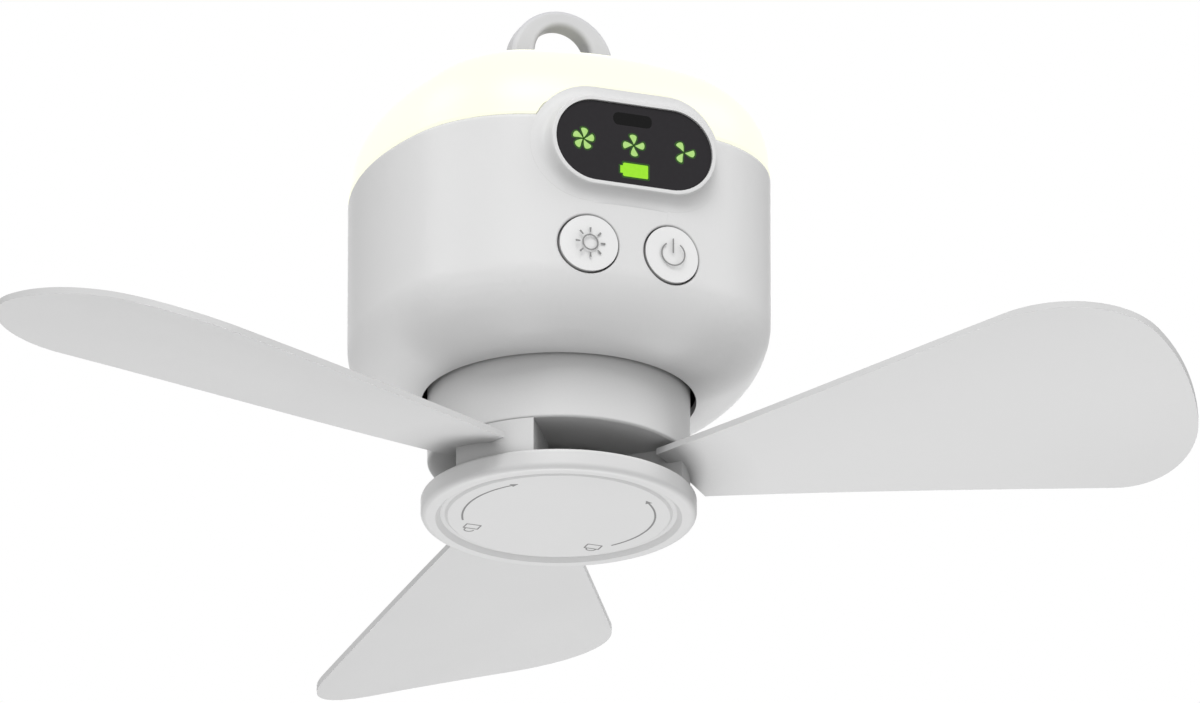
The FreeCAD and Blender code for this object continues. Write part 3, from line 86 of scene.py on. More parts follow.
def moulded_plastic(name, light, shade, roughness, ior=1.52, grain_mm=MOULD_GRAIN_MM,
                    depth_mm=0.004, patch_mm=SINK_PATCH_MM, specular=0.5, darkest=0.5):
    """Injection moulded plastic. The eye gets one even tone with a satin gloss that drifts a
    little, a fine skin, and painted shade that darkens the colour where the walls of other
    pieces stand close."""
    material = new_material(name)
    place = add(material, "TexCoord").outputs["Object"]
    patch = add(material, "TexNoise", inputs={
        "Vector": place, "Scale": 1 / (patch_mm * MM), "Detail": 2.0,
    })
    skin = add(material, "TexNoise", inputs={
        "Vector": place, "Scale": 1 / (grain_mm * MM), "Detail": 3.0,
    })
    relief = add(material, "Bump", inputs={
        "Height": skin.outputs[0], "Strength": 0.3, "Distance": depth_mm * MM,
    })
    tone = add(material, "Mix", {"data_type": "RGBA"}, {
        0: patch.outputs[0], 6: linear(shade), 7: linear(light),
    })
    # Painted shade: ambient occlusion darkens the base colour where other surfaces stand close.
    corner = add(material, "AmbientOcclusion", {"samples": 8}, {"Distance": PAINTED_SHADE_REACH_MM * MM})
    painted_shade_factor = add(material, "MapRange", inputs={
        "Value": corner.outputs["AO"], "To Min": darkest, "To Max": 1.0,
    })
    shaded = add(material, "Mix", {"data_type": "RGBA", "blend_type": "MULTIPLY"}, {
        0: 1.0, 6: tone.outputs[2], 7: painted_shade_factor.outputs[0],
    })
    gloss = add(material, "MapRange", inputs={
        "Value": patch.outputs[0], "To Min": roughness - 0.05, "To Max": roughness + 0.05,
    })
    shader = add(material, "BsdfPrincipled", inputs={
        "Base Color": shaded.outputs[2], "Roughness": gloss.outputs[0], "IOR": ior,
        "Specular IOR Level": specular, "Normal": relief.outputs[0],
    })
    add(material, "OutputMaterial", inputs={"Surface": shader.outputs[0]})
    return material


def dress(material, *names):
    """Gives CAD nodes their finish."""
    for name in names:
        for slot in nodes[name].material_slots:
            slot.material = material


# Spark eroded ABS: white, with broad soft highlights and no mirror image.
white_abs = moulded_plastic("satin moulded ABS", CASING_WHITE, CASING_SHADE, 0.45)
dress(white_abs, "casing")

# Display lip. Round the display the casing has a narrow raised lip. Its foot runs out in a soft
# hollow curve to the front wall, which the mould cuts with a ball cutter that follows the window.

WALL_BOW = 80.0             # radius of the bowed front wall
WALL_BOW_CENTRE = 30.0      # its centre lies this far behind the axis
WINDOW_STRAIGHT = 9.85      # half of the straight side of the window's outline
WINDOW_RADIUS = 10.4
DISPLAY_LEVEL = -42.9
LIP_CREST = 51.97
CURVE_START = 1.0           # all of the curve's distances are from the window's edge
CURVE_END = 5.2
CURVE_CLEAR = 0.012         # the curve ends this far in front of the wall, which stays whole
CUTTER_FRONT = 55.0         # in front of everything on the casing
LIP_CURVE = (               # distance, and the share of the lip's height that is left there
    (CURVE_START, 1.0), (1.12, 0.975), (1.22, 0.9), (1.3, 0.78), (1.42, 0.6), (1.6, 0.43),
    (1.85, 0.29), (2.2, 0.175), (2.7, 0.085), (3.3, 0.035), (4.0, 0.01), (CURVE_END, 0.0),
)
SHARP_DEGREES = 28          # steeper edges than this stay crisp


def wall_depth(x):
    """How far the bowed front wall stands from the axis, in millimetres."""
    return math.sqrt(WALL_BOW ** 2 - x ** 2) - WALL_BOW_CENTRE


def window_loop(offset, steps=44):
    """Points at one distance round the window's outline, as (x, z) in millimetres."""
    loop = []
    for side in (1, -1):
        for step in range(steps + 1):
            angle = math.pi * step / steps - math.pi / 2
            loop.append((
                side * (WINDOW_STRAIGHT + (WINDOW_RADIUS + offset) * math.cos(angle)),
                side * (WINDOW_RADIUS + offset) * math.sin(angle) + DISPLAY_LEVEL,
            ))
    return loop


def hollow_cutter():
    """The ring of air in front of the hollow curve, closed well in front of the lip."""
    shape = bmesh.new()
    rings = []
    for offset, share in [(CURVE_START, None)] + list(LIP_CURVE) + [(CURVE_END, None)]:
        ring = []
        for x, z in window_loop(offset):
            base = wall_depth(x) + CURVE_CLEAR
            depth = CUTTER_FRONT if share is None else base + (LIP_CREST - base) * share
            ring.append(shape.verts.new((x * MM, -depth * MM, z * MM)))
        rings.append(ring)
    count = len(rings[0])
    for index, ring in enumerate(rings):
        outer = rings[(index + 1) % len(rings)]
        for step in range(count):
            after = (step + 1) % count
            shape.faces.new((ring[step], ring[after], outer[after], outer[step]))
    bmesh.ops.recalc_face_normals(shape, faces=shape.faces[:])
    mesh = bpy.data.meshes.new("hollow_cutter")
    shape.to_mesh(mesh)
    shape.free()
    item = bpy.data.objects.new("hollow_cutter", mesh)
    bpy.context.scene.collection.objects.link(item)
    return item


# The stored normals go first: cut by the ring, they would leave a jagged patch of light.
cutter = hollow_cutter()
shell = bpy.data.objects.new("casing_shell", nodes["casing"].data.copy())
bpy.context.scene.collection.objects.link(shell)
if "custom_normal" in shell.data.attributes:
    shell.data.attributes.remove(shell.data.attributes["custom_normal"])
trim = shell.modifiers.new("hollow", "BOOLEAN")
trim.operation = "DIFFERENCE"
trim.solver = "EXACT"
trim.object = cutter
bpy.context.view_layer.update()
depsgraph = bpy.context.evaluated_depsgraph_get()
trimmed = bpy.data.meshes.new_from_object(shell.evaluated_get(depsgraph))
shell.modifiers.clear()
shell.data = trimmed
bpy.data.objects.remove(cutter)
for face in trimmed.polygons:
    face.use_smooth = True
trimmed.set_sharp_from_angle(angle=math.radians(SHARP_DEGREES))
even = shell.modifiers.new("even normals", "WEIGHTED_NORMAL")
even.weight = 100
even.keep_sharp = True
trimmed.materials.clear()
trimmed.materials.append(white_abs)
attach(shell, "housing")
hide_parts("casing")

# Battery and main board. Three lithium cells in heat shrunk PVC lie in a nylon cradle under a
# strap, joined by spot welded nickel strip. The glass fibre board behind them has green solder
# resist and a steel socket shell.

SLEEVE_BLUE = "#2f5d8c"
SLEEVE_SHADE = "#28507a"
NICKEL = "#c9c6bf"
BOARD_GREEN = "#1f5c3a"
BOARD_SHADE = "#1a5034"
RIPPLE_MM = 9.0             # the film's rings: the wave turns by one radian in this length
WAVE_RADIANS = 20           # that a wave texture at scale 1 turns by in one unit
WEAVE_MM = 0.9              # the glass cloth is 0.5 mm, drawn coarser so that it shows
BRUSH_MM = 0.4              # grinding marks are under 0.1 mm, drawn coarser so that they show


def shrink_sleeve(name, light, shade):
    """PVC shrunk on a cell: glossy blue film with faint rings along the cell from the heat."""
    material = new_material(name)
    place = add(material, "TexCoord").outputs["Object"]
    rings = add(material, "TexWave", {"bands_direction": "X"}, {
        "Vector": place, "Scale": 1 / (RIPPLE_MM * MM) / WAVE_RADIANS, "Distortion": 3.0,
        "Detail": 2.0,
    })
    relief = add(material, "Bump", inputs={
        "Height": rings.outputs[1], "Strength": 0.25, "Distance": 0.05 * MM,
    })
    tone = add(material, "Mix", {"data_type": "RGBA"}, {
        0: rings.outputs[1], 6: linear(shade), 7: linear(light),
    })
    shader = add(material, "BsdfPrincipled", inputs={
        "Base Color": tone.outputs[2], "Roughness": 0.22, "IOR": 1.53, "Coat Weight": 0.3,
        "Normal": relief.outputs[0],
    })
    add(material, "OutputMaterial", inputs={"Surface": shader.outputs[0]})
    return material


def plated_metal(name, light, shade, roughness, stretch=(1, 1, 1)):
    """Plated or ground metal: bright, with streaks drawn out the way in which it was worked."""
    material = new_material(name)
    place = add(material, "TexCoord").outputs["Object"]
    drawn = add(material, "Mapping", inputs={"Vector": place, "Scale": stretch})
    brush = add(material, "TexNoise", inputs={
        "Vector": drawn.outputs[0], "Scale": 1 / (BRUSH_MM * MM), "Detail": 4.0,
    })
    relief = add(material, "Bump", inputs={
        "Height": brush.outputs[0], "Strength": 0.2, "Distance": 0.01 * MM,
    })
    tone = add(material, "Mix", {"data_type": "RGBA"}, {
        0: brush.outputs[0], 6: linear(shade), 7: linear(light),
    })
    gloss = add(material, "MapRange", inputs={
        "Value": brush.outputs[0], "To Min": roughness - 0.07, "To Max": roughness + 0.07,
    })
    shader = add(material, "BsdfPrincipled", inputs={
        "Base Color": tone.outputs[2], "Metallic": 1.0, "Roughness": gloss.outputs[0],
        "Normal": relief.outputs[0],
    })
    add(material, "OutputMaterial", inputs={"Surface": shader.outputs[0]})
    return material


def board_laminate(name, light, shade):
    """Glass fibre laminate: the woven cloth shows as a fine check through glossy resist."""
    material = new_material(name)
    place = add(material, "TexCoord").outputs["Object"]
    cloth = add(material, "TexChecker", inputs={
        "Vector": place, "Scale": 1 / (WEAVE_MM * MM),
        "Color1": linear(shade), "Color2": linear(light),
    })
    shader = add(material, "BsdfPrincipled", inputs={
        "Base Color": cloth.outputs[0], "Roughness": 0.3, "IOR": 1.55, "Coat Weight": 0.4,
    })
    add(material, "OutputMaterial", inputs={"Surface": shader.outputs[0]})
    return material


# Nylon with glass in it looks dull and dark, and the chips' epoxy is darker still.
black_nylon = moulded_plastic(
    "glass filled nylon", "#303134", "#28292c", 0.55, ior=1.53, depth_mm=0.01
)
chip_epoxy = moulded_plastic("chip epoxy", "#1c1c1e", "#161618", 0.5, ior=1.55)
resist_board = board_laminate("glass fibre board", BOARD_GREEN, BOARD_SHADE)
# Nickel looks a warm grey, and the zinc on the screws a cool one.
nickel_strip = plated_metal("spot welded nickel strip", NICKEL, "#b5b2aa", 0.3, (1, 0.2, 1))
socket_shell = plated_metal("nickel plated socket shell", "#d2d2d0", "#bdbdbb", 0.25, (1, 0.3, 1))
zinc_steel = plated_metal("zinc plated screw steel", "#c8cace", "#aeb1b6", 0.32)
dress(shrink_sleeve("PVC shrink sleeve", SLEEVE_BLUE, SLEEVE_SHADE), "battery_cells")
dress(nickel_strip, "cell_tabs")
dress(black_nylon, "battery_cradle", "cell_clamp", "motor_mount")
dress(resist_board, "main_board", "switch_board", "display_board", "lamp_board")
dress(chip_epoxy, "main_board_parts")
dress(zinc_steel, "cradle_screws", "main_board_screws", "switch_board_screws")
dress(zinc_steel, "motor_mount_screws", "tray_screws", "rotor_screws")
dress(socket_shell, "charging_socket")

# Display. A tinted acrylic lens, dark grey and glossy, sits just inside the lip of the casing.
# Light from the small chips behind it shows as three fan marks, one for each speed, and a charge
# mark.

LENS_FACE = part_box("display_window")[0][1] / MM
LENS_GREY = "#2a282b"
LENS_SHADE = "#262427"
DUST_MM = 1.2               # dust and fine scratches, drawn coarser so that they show
PETAL_GREEN = "#bfe993"
CHARGE_GREEN = "#a6f02c"
HALO_GREEN = "#27560c"
FILM_MM = 0.9               # the beads of the diffusing film, drawn coarser so that they show
PETAL_MIDDLE = 1.75         # from the fan mark's centre to the middle of a petal
PETAL_SWEEP = 0.09          # how much a petal leans, in radians for each millimetre outward
PETAL_WEDGE = (             # outward and sideways points of a petal: a wedge with a round end
    (0.3, 0.0), (1.2, 0.48), (2.0, 0.86), (2.35, 0.93), (2.62, 0.78), (2.78, 0.4), (2.82, 0.0),
    (2.74, -0.42), (2.52, -0.76), (2.2, -0.84), (1.6, -0.62), (0.9, -0.28),
)
HALO_REACH = 0.45           # the light that spreads in the lens round each petal
FAN_MARKS = (               # name, place across the lens, petals and turn in degrees
    ("fast_mark", -13.1, 5, 8), ("middle_mark", 0.0, 4, 0), ("slow_mark", 13.1, 3, -4),
)
CHARGE_OUTLINE = [          # a lying cell with its pole to the left
    (-3.5, 0.95), (-2.8, 1.0), (-2.8, 1.5), (-2.5, 1.75), (3.55, 1.75), (3.75, 1.55),
    (3.75, -1.55), (3.55, -1.75), (-2.5, -1.75), (-2.8, -1.5), (-2.8, -1.0), (-3.5, -0.95),
]
CHARGE_PLACE = (0.0, DISPLAY_LEVEL - 6.6)
CHARGE_HALO = (1.12, 1.26)
REMOTE_PLACE = (-0.3, DISPLAY_LEVEL + 6.6)
PRINT_DEPTH = 0.04


def petal(turn, grow=0.0):
    """Outline of one petal of a fan mark, in millimetres."""
    outline = []
    for reach, side in PETAL_WEDGE:
        away = Vector((reach - PETAL_MIDDLE, side))
        along, side = away + away.normalized() * grow + Vector((PETAL_MIDDLE, 0))
        angle = turn + PETAL_SWEEP * (along - PETAL_MIDDLE)
        outline.append((
            along * math.cos(angle) - side * math.sin(angle),
            along * math.sin(angle) + side * math.cos(angle),
        ))
    return outline


def moved(outline, across, up):
    """An outline shifted in its own plane."""
    return [(u + across, v + up) for u, v in outline]


def rounded_bar(half_width, half_height, radius, steps=6):
    """Outline of a bar with rounded corners, in millimetres."""
    outline = []
    for across, up, start in ((1, 1, 0), (-1, 1, 90), (-1, -1, 180), (1, -1, 270)):
        for step in range(steps + 1):
            angle = math.radians(start + 90 * step / steps)
            outline.append((
                across * (half_width - radius) + radius * math.cos(angle),
                up * (half_height - radius) + radius * math.sin(angle),
            ))
    return outline


def on_front(level):
    """Places outlines on a plane that faces the front, level millimetres from the axis."""
    def place(u, v, out):
        return Vector((u * MM, (level - out) * MM, v * MM))
    return place


def inlay(name, body, material, outlines, place, depth, base=0.0):
    """A thin print or inlay: filled outlines with a thickness, standing on a surface."""
    mesh = bpy.data.meshes.new(name)
    shape = bmesh.new()
    for outline in outlines:
        shape.faces.new([shape.verts.new(place(u, v, base)) for u, v in outline])
    bmesh.ops.remove_doubles(shape, verts=shape.verts[:], dist=0.002 * MM)
    grown = bmesh.ops.extrude_face_region(shape, geom=shape.faces[:])
    raised = [item for item in grown["geom"] if isinstance(item, bmesh.types.BMVert)]
    bmesh.ops.translate(shape, verts=raised, vec=place(0, 0, depth) - place(0, 0, 0))
    bmesh.ops.recalc_face_normals(shape, faces=shape.faces[:])
    shape.to_mesh(mesh)
    shape.free()
    mesh.materials.append(material)
    item = bpy.data.objects.new(name, mesh)
    bpy.context.scene.collection.objects.link(item)
    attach(item, body)


def lit_mark(name, light, shade, strength):
    """Light behind a tinted lens: it glows, a little unevenly from the diffusing film."""
    material = new_material(name)
    place = add(material, "TexCoord").outputs["Object"]
    film = add(material, "TexNoise", inputs={
        "Vector": place, "Scale": 1 / (FILM_MM * MM), "Detail": 1.0,
    })
    tone = add(material, "Mix", {"data_type": "RGBA"}, {
        0: film.outputs[0], 6: linear(shade), 7: linear(light),
    })
    shader = add(material, "BsdfPrincipled", inputs={
        "Base Color": linear("#101210"), "Roughness": 0.25, "IOR": 1.49,
        "Emission Color": tone.outputs[2], "Emission Strength": strength,
    })
    add(material, "OutputMaterial", inputs={"Surface": shader.outputs[0]})
    return material


def tinted_lens(name, light, shade):
    """Smoke tinted acrylic over a black mask: nearly black, with a hard gloss and faint dust."""
    material = new_material(name)
    place = add(material, "TexCoord").outputs["Object"]
    dust = add(material, "TexNoise", inputs={
        "Vector": place, "Scale": 1 / (DUST_MM * MM), "Detail": 6.0,
    })
    tone = add(material, "Mix", {"data_type": "RGBA"}, {
        0: dust.outputs[0], 6: linear(shade), 7: linear(light),
    })
    gloss = add(material, "MapRange", inputs={
        "Value": dust.outputs[0], "To Min": 0.1, "To Max": 0.2,
    })
    shader = add(material, "BsdfPrincipled", inputs={
        "Base Color": tone.outputs[2], "Roughness": gloss.outputs[0], "IOR": 1.49,
        "Specular IOR Level": 0.35,
    })
    add(material, "OutputMaterial", inputs={"Surface": shader.outputs[0]})
    return material


# The petals are paler than the charge mark. Round each mark the lens itself glows dark green.
petal_light = lit_mark("lit petals", PETAL_GREEN, "#a9dc6a", 0.92)
charge_light = lit_mark("lit charge mark", CHARGE_GREEN, "#97e61e", 0.95)
halo_light = lit_mark("light spread in the lens", HALO_GREEN, "#1d3f08", 1.0)
lens_plane = on_front(LENS_FACE)
for name, across, petals, turn in FAN_MARKS:
    angles = [math.radians(turn + 360 * index / petals) for index in range(petals)]
    for index, angle in enumerate(angles):
        inlay("%s_glow_%d" % (name, index + 1), "housing", halo_light,
              [moved(petal(angle, HALO_REACH), across, DISPLAY_LEVEL)],
              lens_plane, PRINT_DEPTH / 4)
    inlay(name, "housing", petal_light,
          [moved(petal(angle), across, DISPLAY_LEVEL) for angle in angles],
          lens_plane, PRINT_DEPTH / 2, PRINT_DEPTH / 4)

glow_outline = [(u * CHARGE_HALO[0], v * CHARGE_HALO[1]) for u, v in CHARGE_OUTLINE]
inlay("charge_glow", "housing", halo_light, [moved(glow_outline, *CHARGE_PLACE)],
      lens_plane, PRINT_DEPTH / 4)
inlay("charge_mark", "housing", charge_light, [moved(CHARGE_OUTLINE, *CHARGE_PLACE)],
      lens_plane, PRINT_DEPTH / 2, PRINT_DEPTH / 4)

# The pane over the remote's receiver lets only infrared through, so it looks quite black.
dress(tinted_lens("smoke tinted acrylic", LENS_GREY, LENS_SHADE), "display_window")
inlay("remote_pane", "housing",
      tinted_lens("infrared acrylic", "#060606", "#040404"),
      [moved(rounded_bar(5.0, 1.6, 1.3), *REMOTE_PLACE)], lens_plane, PRINT_DEPTH)
dress(black_nylon, "display_mask")
dress(lit_mark("mark chips", "#b9f06a", "#9bdd48", 0.8), "display_chips")
dress(chip_epoxy, "remote_receiver", "switch_housings")

# Buttons. Two round ABS caps, a shade lighter and finer than the casing, hang on their flanges
# behind the wall and press tact switches. The sun and the power sign are fine grey lines on them.

BUTTON_WHITE = "#eeeeee"
SIGN_GREY = "#8f8f8f"
BUTTON_X = 10.8
BUTTON_LEVEL = -69.3
SIGN_LINE = 0.34
SUN_RADIUS = 1.95
RAYS = 8
RAY_START, RAY_END = 2.65, 3.85
RAY_THIN, RAY_THICK = 0.3, 0.5
POWER_RADIUS = 3.0
POWER_BAR_LEVEL = 2.1
POWER_BAR_HALF = 1.9


def arc_strip(radius, start, end, width, steps=40, centre=(0.0, 0.0)):
    """Quads along an arc from one angle to another, in degrees."""
    quads = []
    for step in range(steps):
        first = math.radians(start + (end - start) * step / steps)
        last = math.radians(start + (end - start) * (step + 1) / steps)
        quads.append([
            (centre[0] + reach * math.cos(angle), centre[1] + reach * math.sin(angle))
            for reach, angle in (
                (radius - width / 2, first), (radius + width / 2, first),
                (radius + width / 2, last), (radius - width / 2, last),
            )
        ])
    return quads


def ray(angle):
    """One straight stroke of the sun that widens away from the centre."""
    along = Vector((math.cos(angle), math.sin(angle)))
    side = Vector((-along.y, along.x))
    corners = (
        along * RAY_START - side * RAY_THIN / 2, along * RAY_END - side * RAY_THICK / 2,
        along * RAY_END + side * RAY_THICK / 2, along * RAY_START + side * RAY_THIN / 2,
    )
    return [(corner.x, corner.y) for corner in corners]


# The buttons' skin is finer, so they look a little glossier than the casing. The ink is flat.
button_abs = moulded_plastic(
    "fine moulded ABS", BUTTON_WHITE, "#ebebeb", 0.38, grain_mm=0.4, depth_mm=0.003
)
sign_ink = moulded_plastic("grey sign line", SIGN_GREY, "#858585", 0.6)
dress(button_abs, "light_button", "power_button")
dress(chip_epoxy, "light_switch_plunger", "power_switch_plunger")
button_plane = on_front(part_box("light_button")[0][1] / MM)
sun = arc_strip(SUN_RADIUS, 0, 360, SIGN_LINE)
sun += [ray(math.radians(360 / RAYS * index)) for index in range(RAYS)]
inlay("sun_sign", "light_button", sign_ink,
      [moved(outline, -BUTTON_X, BUTTON_LEVEL) for outline in sun], button_plane, PRINT_DEPTH)
power = arc_strip(POWER_RADIUS, 125, 415, SIGN_LINE)
power_bar = rounded_bar(SIGN_LINE / 2, POWER_BAR_HALF, SIGN_LINE / 2.2, 3)
power.append(moved(power_bar, 0, POWER_BAR_LEVEL))
inlay("power_sign", "power_button", sign_ink,
      [moved(outline, BUTTON_X, BUTTON_LEVEL) for outline in power], button_plane, PRINT_DEPTH)

# Lamp. An opal polycarbonate dome is lit from a ring of warm white chips, and clips over the
# casing's rim. In the photograph it is lit and nearly white, with a faint yellow cast.

OPAL = "#ffffec"
OPAL_WARM = "#ffffe6"
HAZE_MM = 26.0              # broad drift of tone; the chips stand 16 mm apart


def lit_opal(name, colour, warm):
    """Opal polycarbonate, lit from inside: an even glow, a touch warmer in broad random patches.
    """
    material = new_material(name)
    place = add(material, "TexCoord").outputs["Object"]
    haze = add(material, "TexNoise", inputs={
        "Vector": place, "Scale": 1 / (HAZE_MM * MM), "Detail": 1.0,
    })
    tone = add(material, "Mix", {"data_type": "RGBA"}, {
        0: haze.outputs[0], 6: linear(warm), 7: linear(colour),
    })
    shader = add(material, "BsdfPrincipled", inputs={
        "Base Color": linear("#55544e"), "Roughness": 0.4, "IOR": 1.58,
        "Emission Color": tone.outputs[2], "Emission Strength": 0.95,
    })
    add(material, "OutputMaterial", inputs={"Surface": shader.outputs[0]})
    return material


# The tray is whiter than the casing, to throw the light of its chips back into the dome.
dress(lit_opal("lit opal polycarbonate", OPAL, OPAL_WARM), "lamp_diffuser")
dress(moulded_plastic("reflector white ABS", "#f2f2ee", "#ecece8", 0.5), "lamp_tray")
dress(lit_mark("warm lamp chips", "#ffedb0", "#ffe08a", 1.5), "lamp_chips")

# Hook. A D shaped eye, moulded in the casing's ABS, folds on a steel pin between two ears. The
# ears are part of a round plug in the dome, held by two screws.

HOOK_WHITE = "#d0d0d3"

# The hook is a shade greyer than the casing. Its inner wall gets deep painted shade where
# the eye closes in.
hook_abs = moulded_plastic("satin hook ABS", HOOK_WHITE, "#cbcbce", 0.5, darkest=0.15)
dress(hook_abs, "hook_base", "hanging_hook")
dress(plated_metal("ground pin steel", "#cfd0d2", "#babcbf", 0.25, (0.2, 1, 1)), "hook_pin")
dress(zinc_steel, "hook_base_screws")

# Motor. Nine wound teeth on a laminated core sit still on the bearing tube, and a steel can with a
# ring magnet turns round them. All of it hides inside the drum.

# The core shows the edges of its sheets, the copper its turns, the magnet a flat charcoal coat.
core_steel = plated_metal("laminated core steel", "#8a8c92", "#6f7177", 0.45, (0.3, 0.3, 3))
copper_wire = plated_metal("enamelled copper wire", "#b8703a", "#9c5526", 0.35, (1, 1, 4))
bearing_steel = plated_metal("ground bearing steel", "#cfd1d4", "#bbbdc1", 0.22)
can_steel = plated_metal("zinc plated can steel", "#b9bcc1", "#a4a7ad", 0.36, (1, 1, 0.3))
dress(core_steel, "stator_core")
dress(copper_wire, "stator_coils")
dress(bearing_steel, "shaft_bearings", "motor_shaft")
dress(plated_metal("spring steel", "#9a9ca2", "#85878c", 0.35), "shaft_clip")
dress(can_steel, "rotor_can")
dress(moulded_plastic("coated ferrite magnet", "#3a3b3e", "#2f3033", 0.5, ior=1.6), "magnet_ring")

# Drum. The turning drum is moulded in white ABS like the casing. It closes over the motor's can,
# and its face carries the pegs of the blades and the spigot of the cap.

# It stands in the shade of the casing, and that shade is painted into its colour: a little
# greyer than the casing.
dress(moulded_plastic("satin drum ABS", "#dedede", "#d9d9d9", 0.48), "hub_drum")

# Blades. Three loose blades in polypropylene, 1.6 mm thick, are twisted and slightly cupped. The
# root block of each slips on two pegs, and the mould leaves a soft edge all round.

BLADES = ("blade_1", "blade_2", "blade_3")
EDGE_ROUND = 0.7
EDGE_DEGREES = 50           # only the blade's outline and its root block have such sharp edges
FLOW_MM = 30.0              # slow drift of tone along the flow of the plastic

# Polypropylene: a softer, waxier gloss than ABS, and deeper painted shade at the root block.
dress(moulded_plastic("moulded polypropylene", "#dcdcdc", "#d8d8d8", 0.5, ior=1.49,
                      patch_mm=FLOW_MM, specular=0.4, darkest=0.4), *BLADES)
for name in BLADES:
    soft = nodes[name].modifiers.new("soft edge", "BEVEL")
    soft.width = EDGE_ROUND * MM
    soft.segments = 4
    soft.limit_method = "ANGLE"
    soft.angle_limit = math.radians(EDGE_DEGREES)

# Cap. The lock cap is an ABS disc with a raised rim and a shallow groove. A twist of 30 degrees
# locks it on the spigot, and it holds the blades. Its face shows two arrows and two padlocks as
# thin lines.

CAP_FACE_LINES = "#8a8a8a"
CAP_LINE = 0.45
DISC_INSET = 0.6            # the disc lies this far inside the edge of the rim
ARROW_RADIUS = 23.6
UNLOCK_ARC = (153, 220)     # start and end in degrees
LOCK_ARC = (36, -42)
PADLOCK_RADIUS = 22.3
PADLOCK_LINE = 0.32
PADLOCK_BOW = 1.2
PADLOCK_BOW_LEVEL = 1.5


def on_underside(level):
    """Places outlines on a plane that faces down."""
    def place(u, v, out):
        return Vector((u * MM, v * MM, (level - out) * MM))
    return place


def arrowhead(angle, toward, size=1.9):
    """A small solid triangle at the end of an arc, pointing along it."""
    spot = Vector((ARROW_RADIUS * math.cos(angle), ARROW_RADIUS * math.sin(angle)))
    along = Vector((-math.sin(angle), math.cos(angle))) * toward
    side = Vector((-along.y, along.x))
    corners = (spot + along * size, spot + side * size * 0.45, spot - side * size * 0.45)
    return [(corner.x, corner.y) for corner in corners]


def padlock(centre, gap):
    """Outline strokes of a small padlock, whose bow stands open by a gap."""
    lying = rounded_bar(2.0, PADLOCK_LINE / 2, PADLOCK_LINE / 2.1, 2)
    standing = rounded_bar(PADLOCK_LINE / 2, 1.1, 0.02, 1)
    strokes = [moved(lying, 0.0, level) for level in (-1.3, 1.3)]
    strokes += [moved(standing, side, 0.0) for side in (-1.84, 1.84)]
    bow_centre = (0.0, PADLOCK_BOW_LEVEL + gap)
    strokes.extend(arc_strip(PADLOCK_BOW, 0, 180, PADLOCK_LINE, 14, bow_centre))
    if gap:
        leg = rounded_bar(PADLOCK_LINE / 2, gap / 2, 0.02, 1)
        strokes.append(moved(leg, -PADLOCK_BOW, PADLOCK_BOW_LEVEL + gap / 2))
    return [moved(stroke, *centre) for stroke in strokes]


# The cap is a touch greyer than the casing, and its ink a flat mid grey.
dress(moulded_plastic("satin cap ABS", "#e0e0e0", "#dcdcdc", 0.45), "lock_cap")
cap_ink = moulded_plastic("grey cap line", CAP_FACE_LINES, "#808080", 0.6)
disc_plane = on_underside(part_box("lock_cap")[0][2] / MM + DISC_INSET)
for name, (start, end), toward in (("unlock_arrow", UNLOCK_ARC, 1), ("lock_arrow", LOCK_ARC, -1)):
    arrow = arc_strip(ARROW_RADIUS, start, end, CAP_LINE)
    arrow.append(arrowhead(math.radians(end), toward))
    inlay(name, "cap", cap_ink, arrow, disc_plane, PRINT_DEPTH)
for name, degrees, gap in (("open_padlock", 141, 0.7), ("closed_padlock", 47, 0.0)):
    angle = math.radians(degrees)
    spot = (PADLOCK_RADIUS * math.cos(angle), PADLOCK_RADIUS * math.sin(angle))
    inlay(name, "cap", cap_ink, padlock(spot, gap), disc_plane, PRINT_DEPTH)

# Floor, backdrop, light and camera. The fan hangs, and the camera looks up at it. The floor lies
# below the camera, and what the camera sees behind the fan is plain white.

FLOOR_LEVEL = -2.75
FLOOR_RADIUS = 30
FLOOR_LIFT = 0.5            # what the camera alone sees added to the floor, to bring it near white
WORLD_LEVEL = 0.48

mesh = bpy.data.meshes.new("floor")
shape = bmesh.new()
bmesh.ops.create_circle(shape, cap_ends=True, segments=96, radius=FLOOR_RADIUS)
bmesh.ops.translate(shape, verts=shape.verts[:], vec=(0, 0, FLOOR_LEVEL))
shape.to_mesh(mesh)
shape.free()
floor = bpy.data.objects.new("floor", mesh)
bpy.context.scene.collection.objects.link(floor)
floor_paint = new_material("pale studio floor")
seen = add(floor_paint, "LightPath")
paint = add(floor_paint, "BsdfDiffuse", inputs={"Color": linear("#e8e8e8")})
glow = add(floor_paint, "Emission", inputs={"Color": linear("#ffffff"), "Strength": FLOOR_LIFT})
lifted = add(floor_paint, "AddShader", inputs={0: paint.outputs[0], 1: glow.outputs[0]})
choice = add(floor_paint, "MixShader", inputs={
    0: seen.outputs["Is Camera Ray"], 1: paint.outputs[0], 2: lifted.outputs[0],
})
# Seen from below, the floor lets the view through, so that the underside of the fan shows.
side_seen = add(floor_paint, "NewGeometry")
underside = add(floor_paint, "Math", {"operation": "MULTIPLY"}, {
    0: side_seen.outputs["Backfacing"], 1: seen.outputs["Is Camera Ray"],
})
open_view = add(floor_paint, "BsdfTransparent")
one_way = add(floor_paint, "MixShader", inputs={
    0: underside.outputs[0], 1: choice.outputs[0], 2: open_view.outputs[0],
})
add(floor_paint, "OutputMaterial", inputs={"Surface": one_way.outputs[0]})
mesh.materials.append(floor_paint)

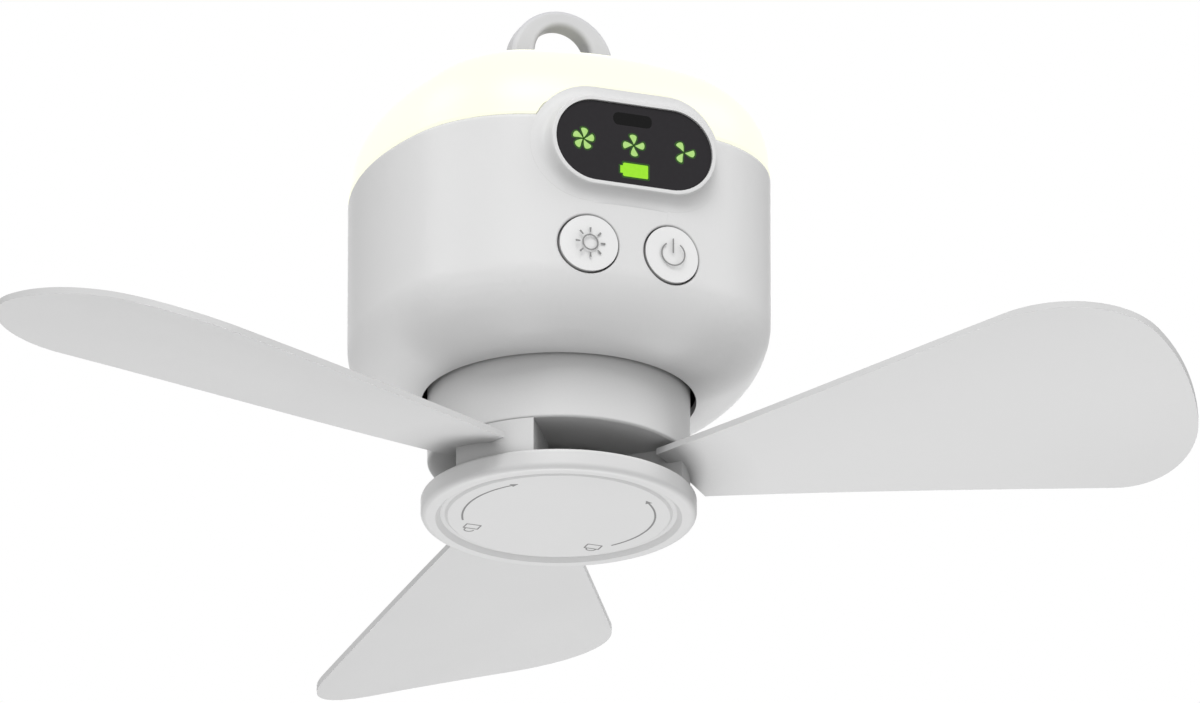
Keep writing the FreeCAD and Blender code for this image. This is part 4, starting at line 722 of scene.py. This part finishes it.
world = bpy.data.worlds.new("studio")
bpy.context.scene.world = world
world.use_nodes = True
world.node_tree.nodes.clear()
path = add(world, "LightPath")
plain = add(world, "Math", {"operation": "MAXIMUM"}, {
    0: path.outputs["Is Camera Ray"], 1: path.outputs["Is Transmission Ray"],
})
shown = add(world, "Background", inputs={"Color": linear("#ffffff"), "Strength": 1.0})
lighting = add(world, "Background", inputs={"Color": linear("#ffffff"), "Strength": WORLD_LEVEL})
both = add(world, "MixShader", inputs={
    0: plain.outputs[0], 1: lighting.outputs[0], 2: shown.outputs[0],
})
add(world, "OutputWorld", inputs={"Surface": both.outputs[0]})

AZIMUTH = math.radians(20.87)
PITCH = 0.3771              # the camera looks up by this angle, in radians
MIDDLE = Vector((0, 0, -0.065))
across = Vector((math.cos(AZIMUTH), -math.sin(AZIMUTH), 0))
away = Vector((math.sin(AZIMUTH), math.cos(AZIMUTH), 0))
rise = Vector((0, 0, 1))


def soft_lamp(name, spot, power, size=1.4):
    """A large square lamp that faces the middle of the fan."""
    data = bpy.data.lights.new(name, "AREA")
    data.shape = "SQUARE"
    data.size = size
    data.energy = power
    lamp = bpy.data.objects.new(name, data)
    bpy.context.scene.collection.objects.link(lamp)
    lamp.location = spot
    lamp.rotation_euler = (MIDDLE - spot).to_track_quat("-Z", "Y").to_euler()
    lamp.visible_camera = False


soft_lamp("front_lamp", MIDDLE - away * 2.0 + rise * 1.68, 29)
soft_lamp("low_front_lamp", MIDDLE - away * 2.4 - rise * 0.5, 9)
soft_lamp("left_lamp", MIDDLE - across * 2.1 - away * 0.4 + rise * 1.5, 15)
soft_lamp("right_lamp", MIDDLE + across * 2.1 - away * 0.4 + rise * 1.5, 14)
soft_lamp("back_lamp", MIDDLE + away * 2.4 + rise * 1.1, 14, 1.6)
soft_lamp("under_back_lamp", MIDDLE + away * 1.2 - rise * 2.2, 31)

CAMERA_SPOT = across * 0.010089 - away * 5.90476 + Vector((0, 0, -2.4165))
camera_data = bpy.data.cameras.new("camera")
camera_data.lens = 777.34
camera_data.sensor_width = 36
camera_data.clip_start = 0.1
camera_data.clip_end = 60
camera = bpy.data.objects.new("camera", camera_data)
bpy.context.scene.collection.objects.link(camera)
forward = away * math.cos(PITCH) + Vector((0, 0, math.sin(PITCH)))
upward = across.cross(forward)
turn = Matrix((across, upward, -forward)).transposed().to_4x4()
camera.matrix_world = Matrix.Translation(CAMERA_SPOT) @ turn
bpy.context.scene.camera = camera
bpy.context.scene.view_settings.view_transform = "Standard"
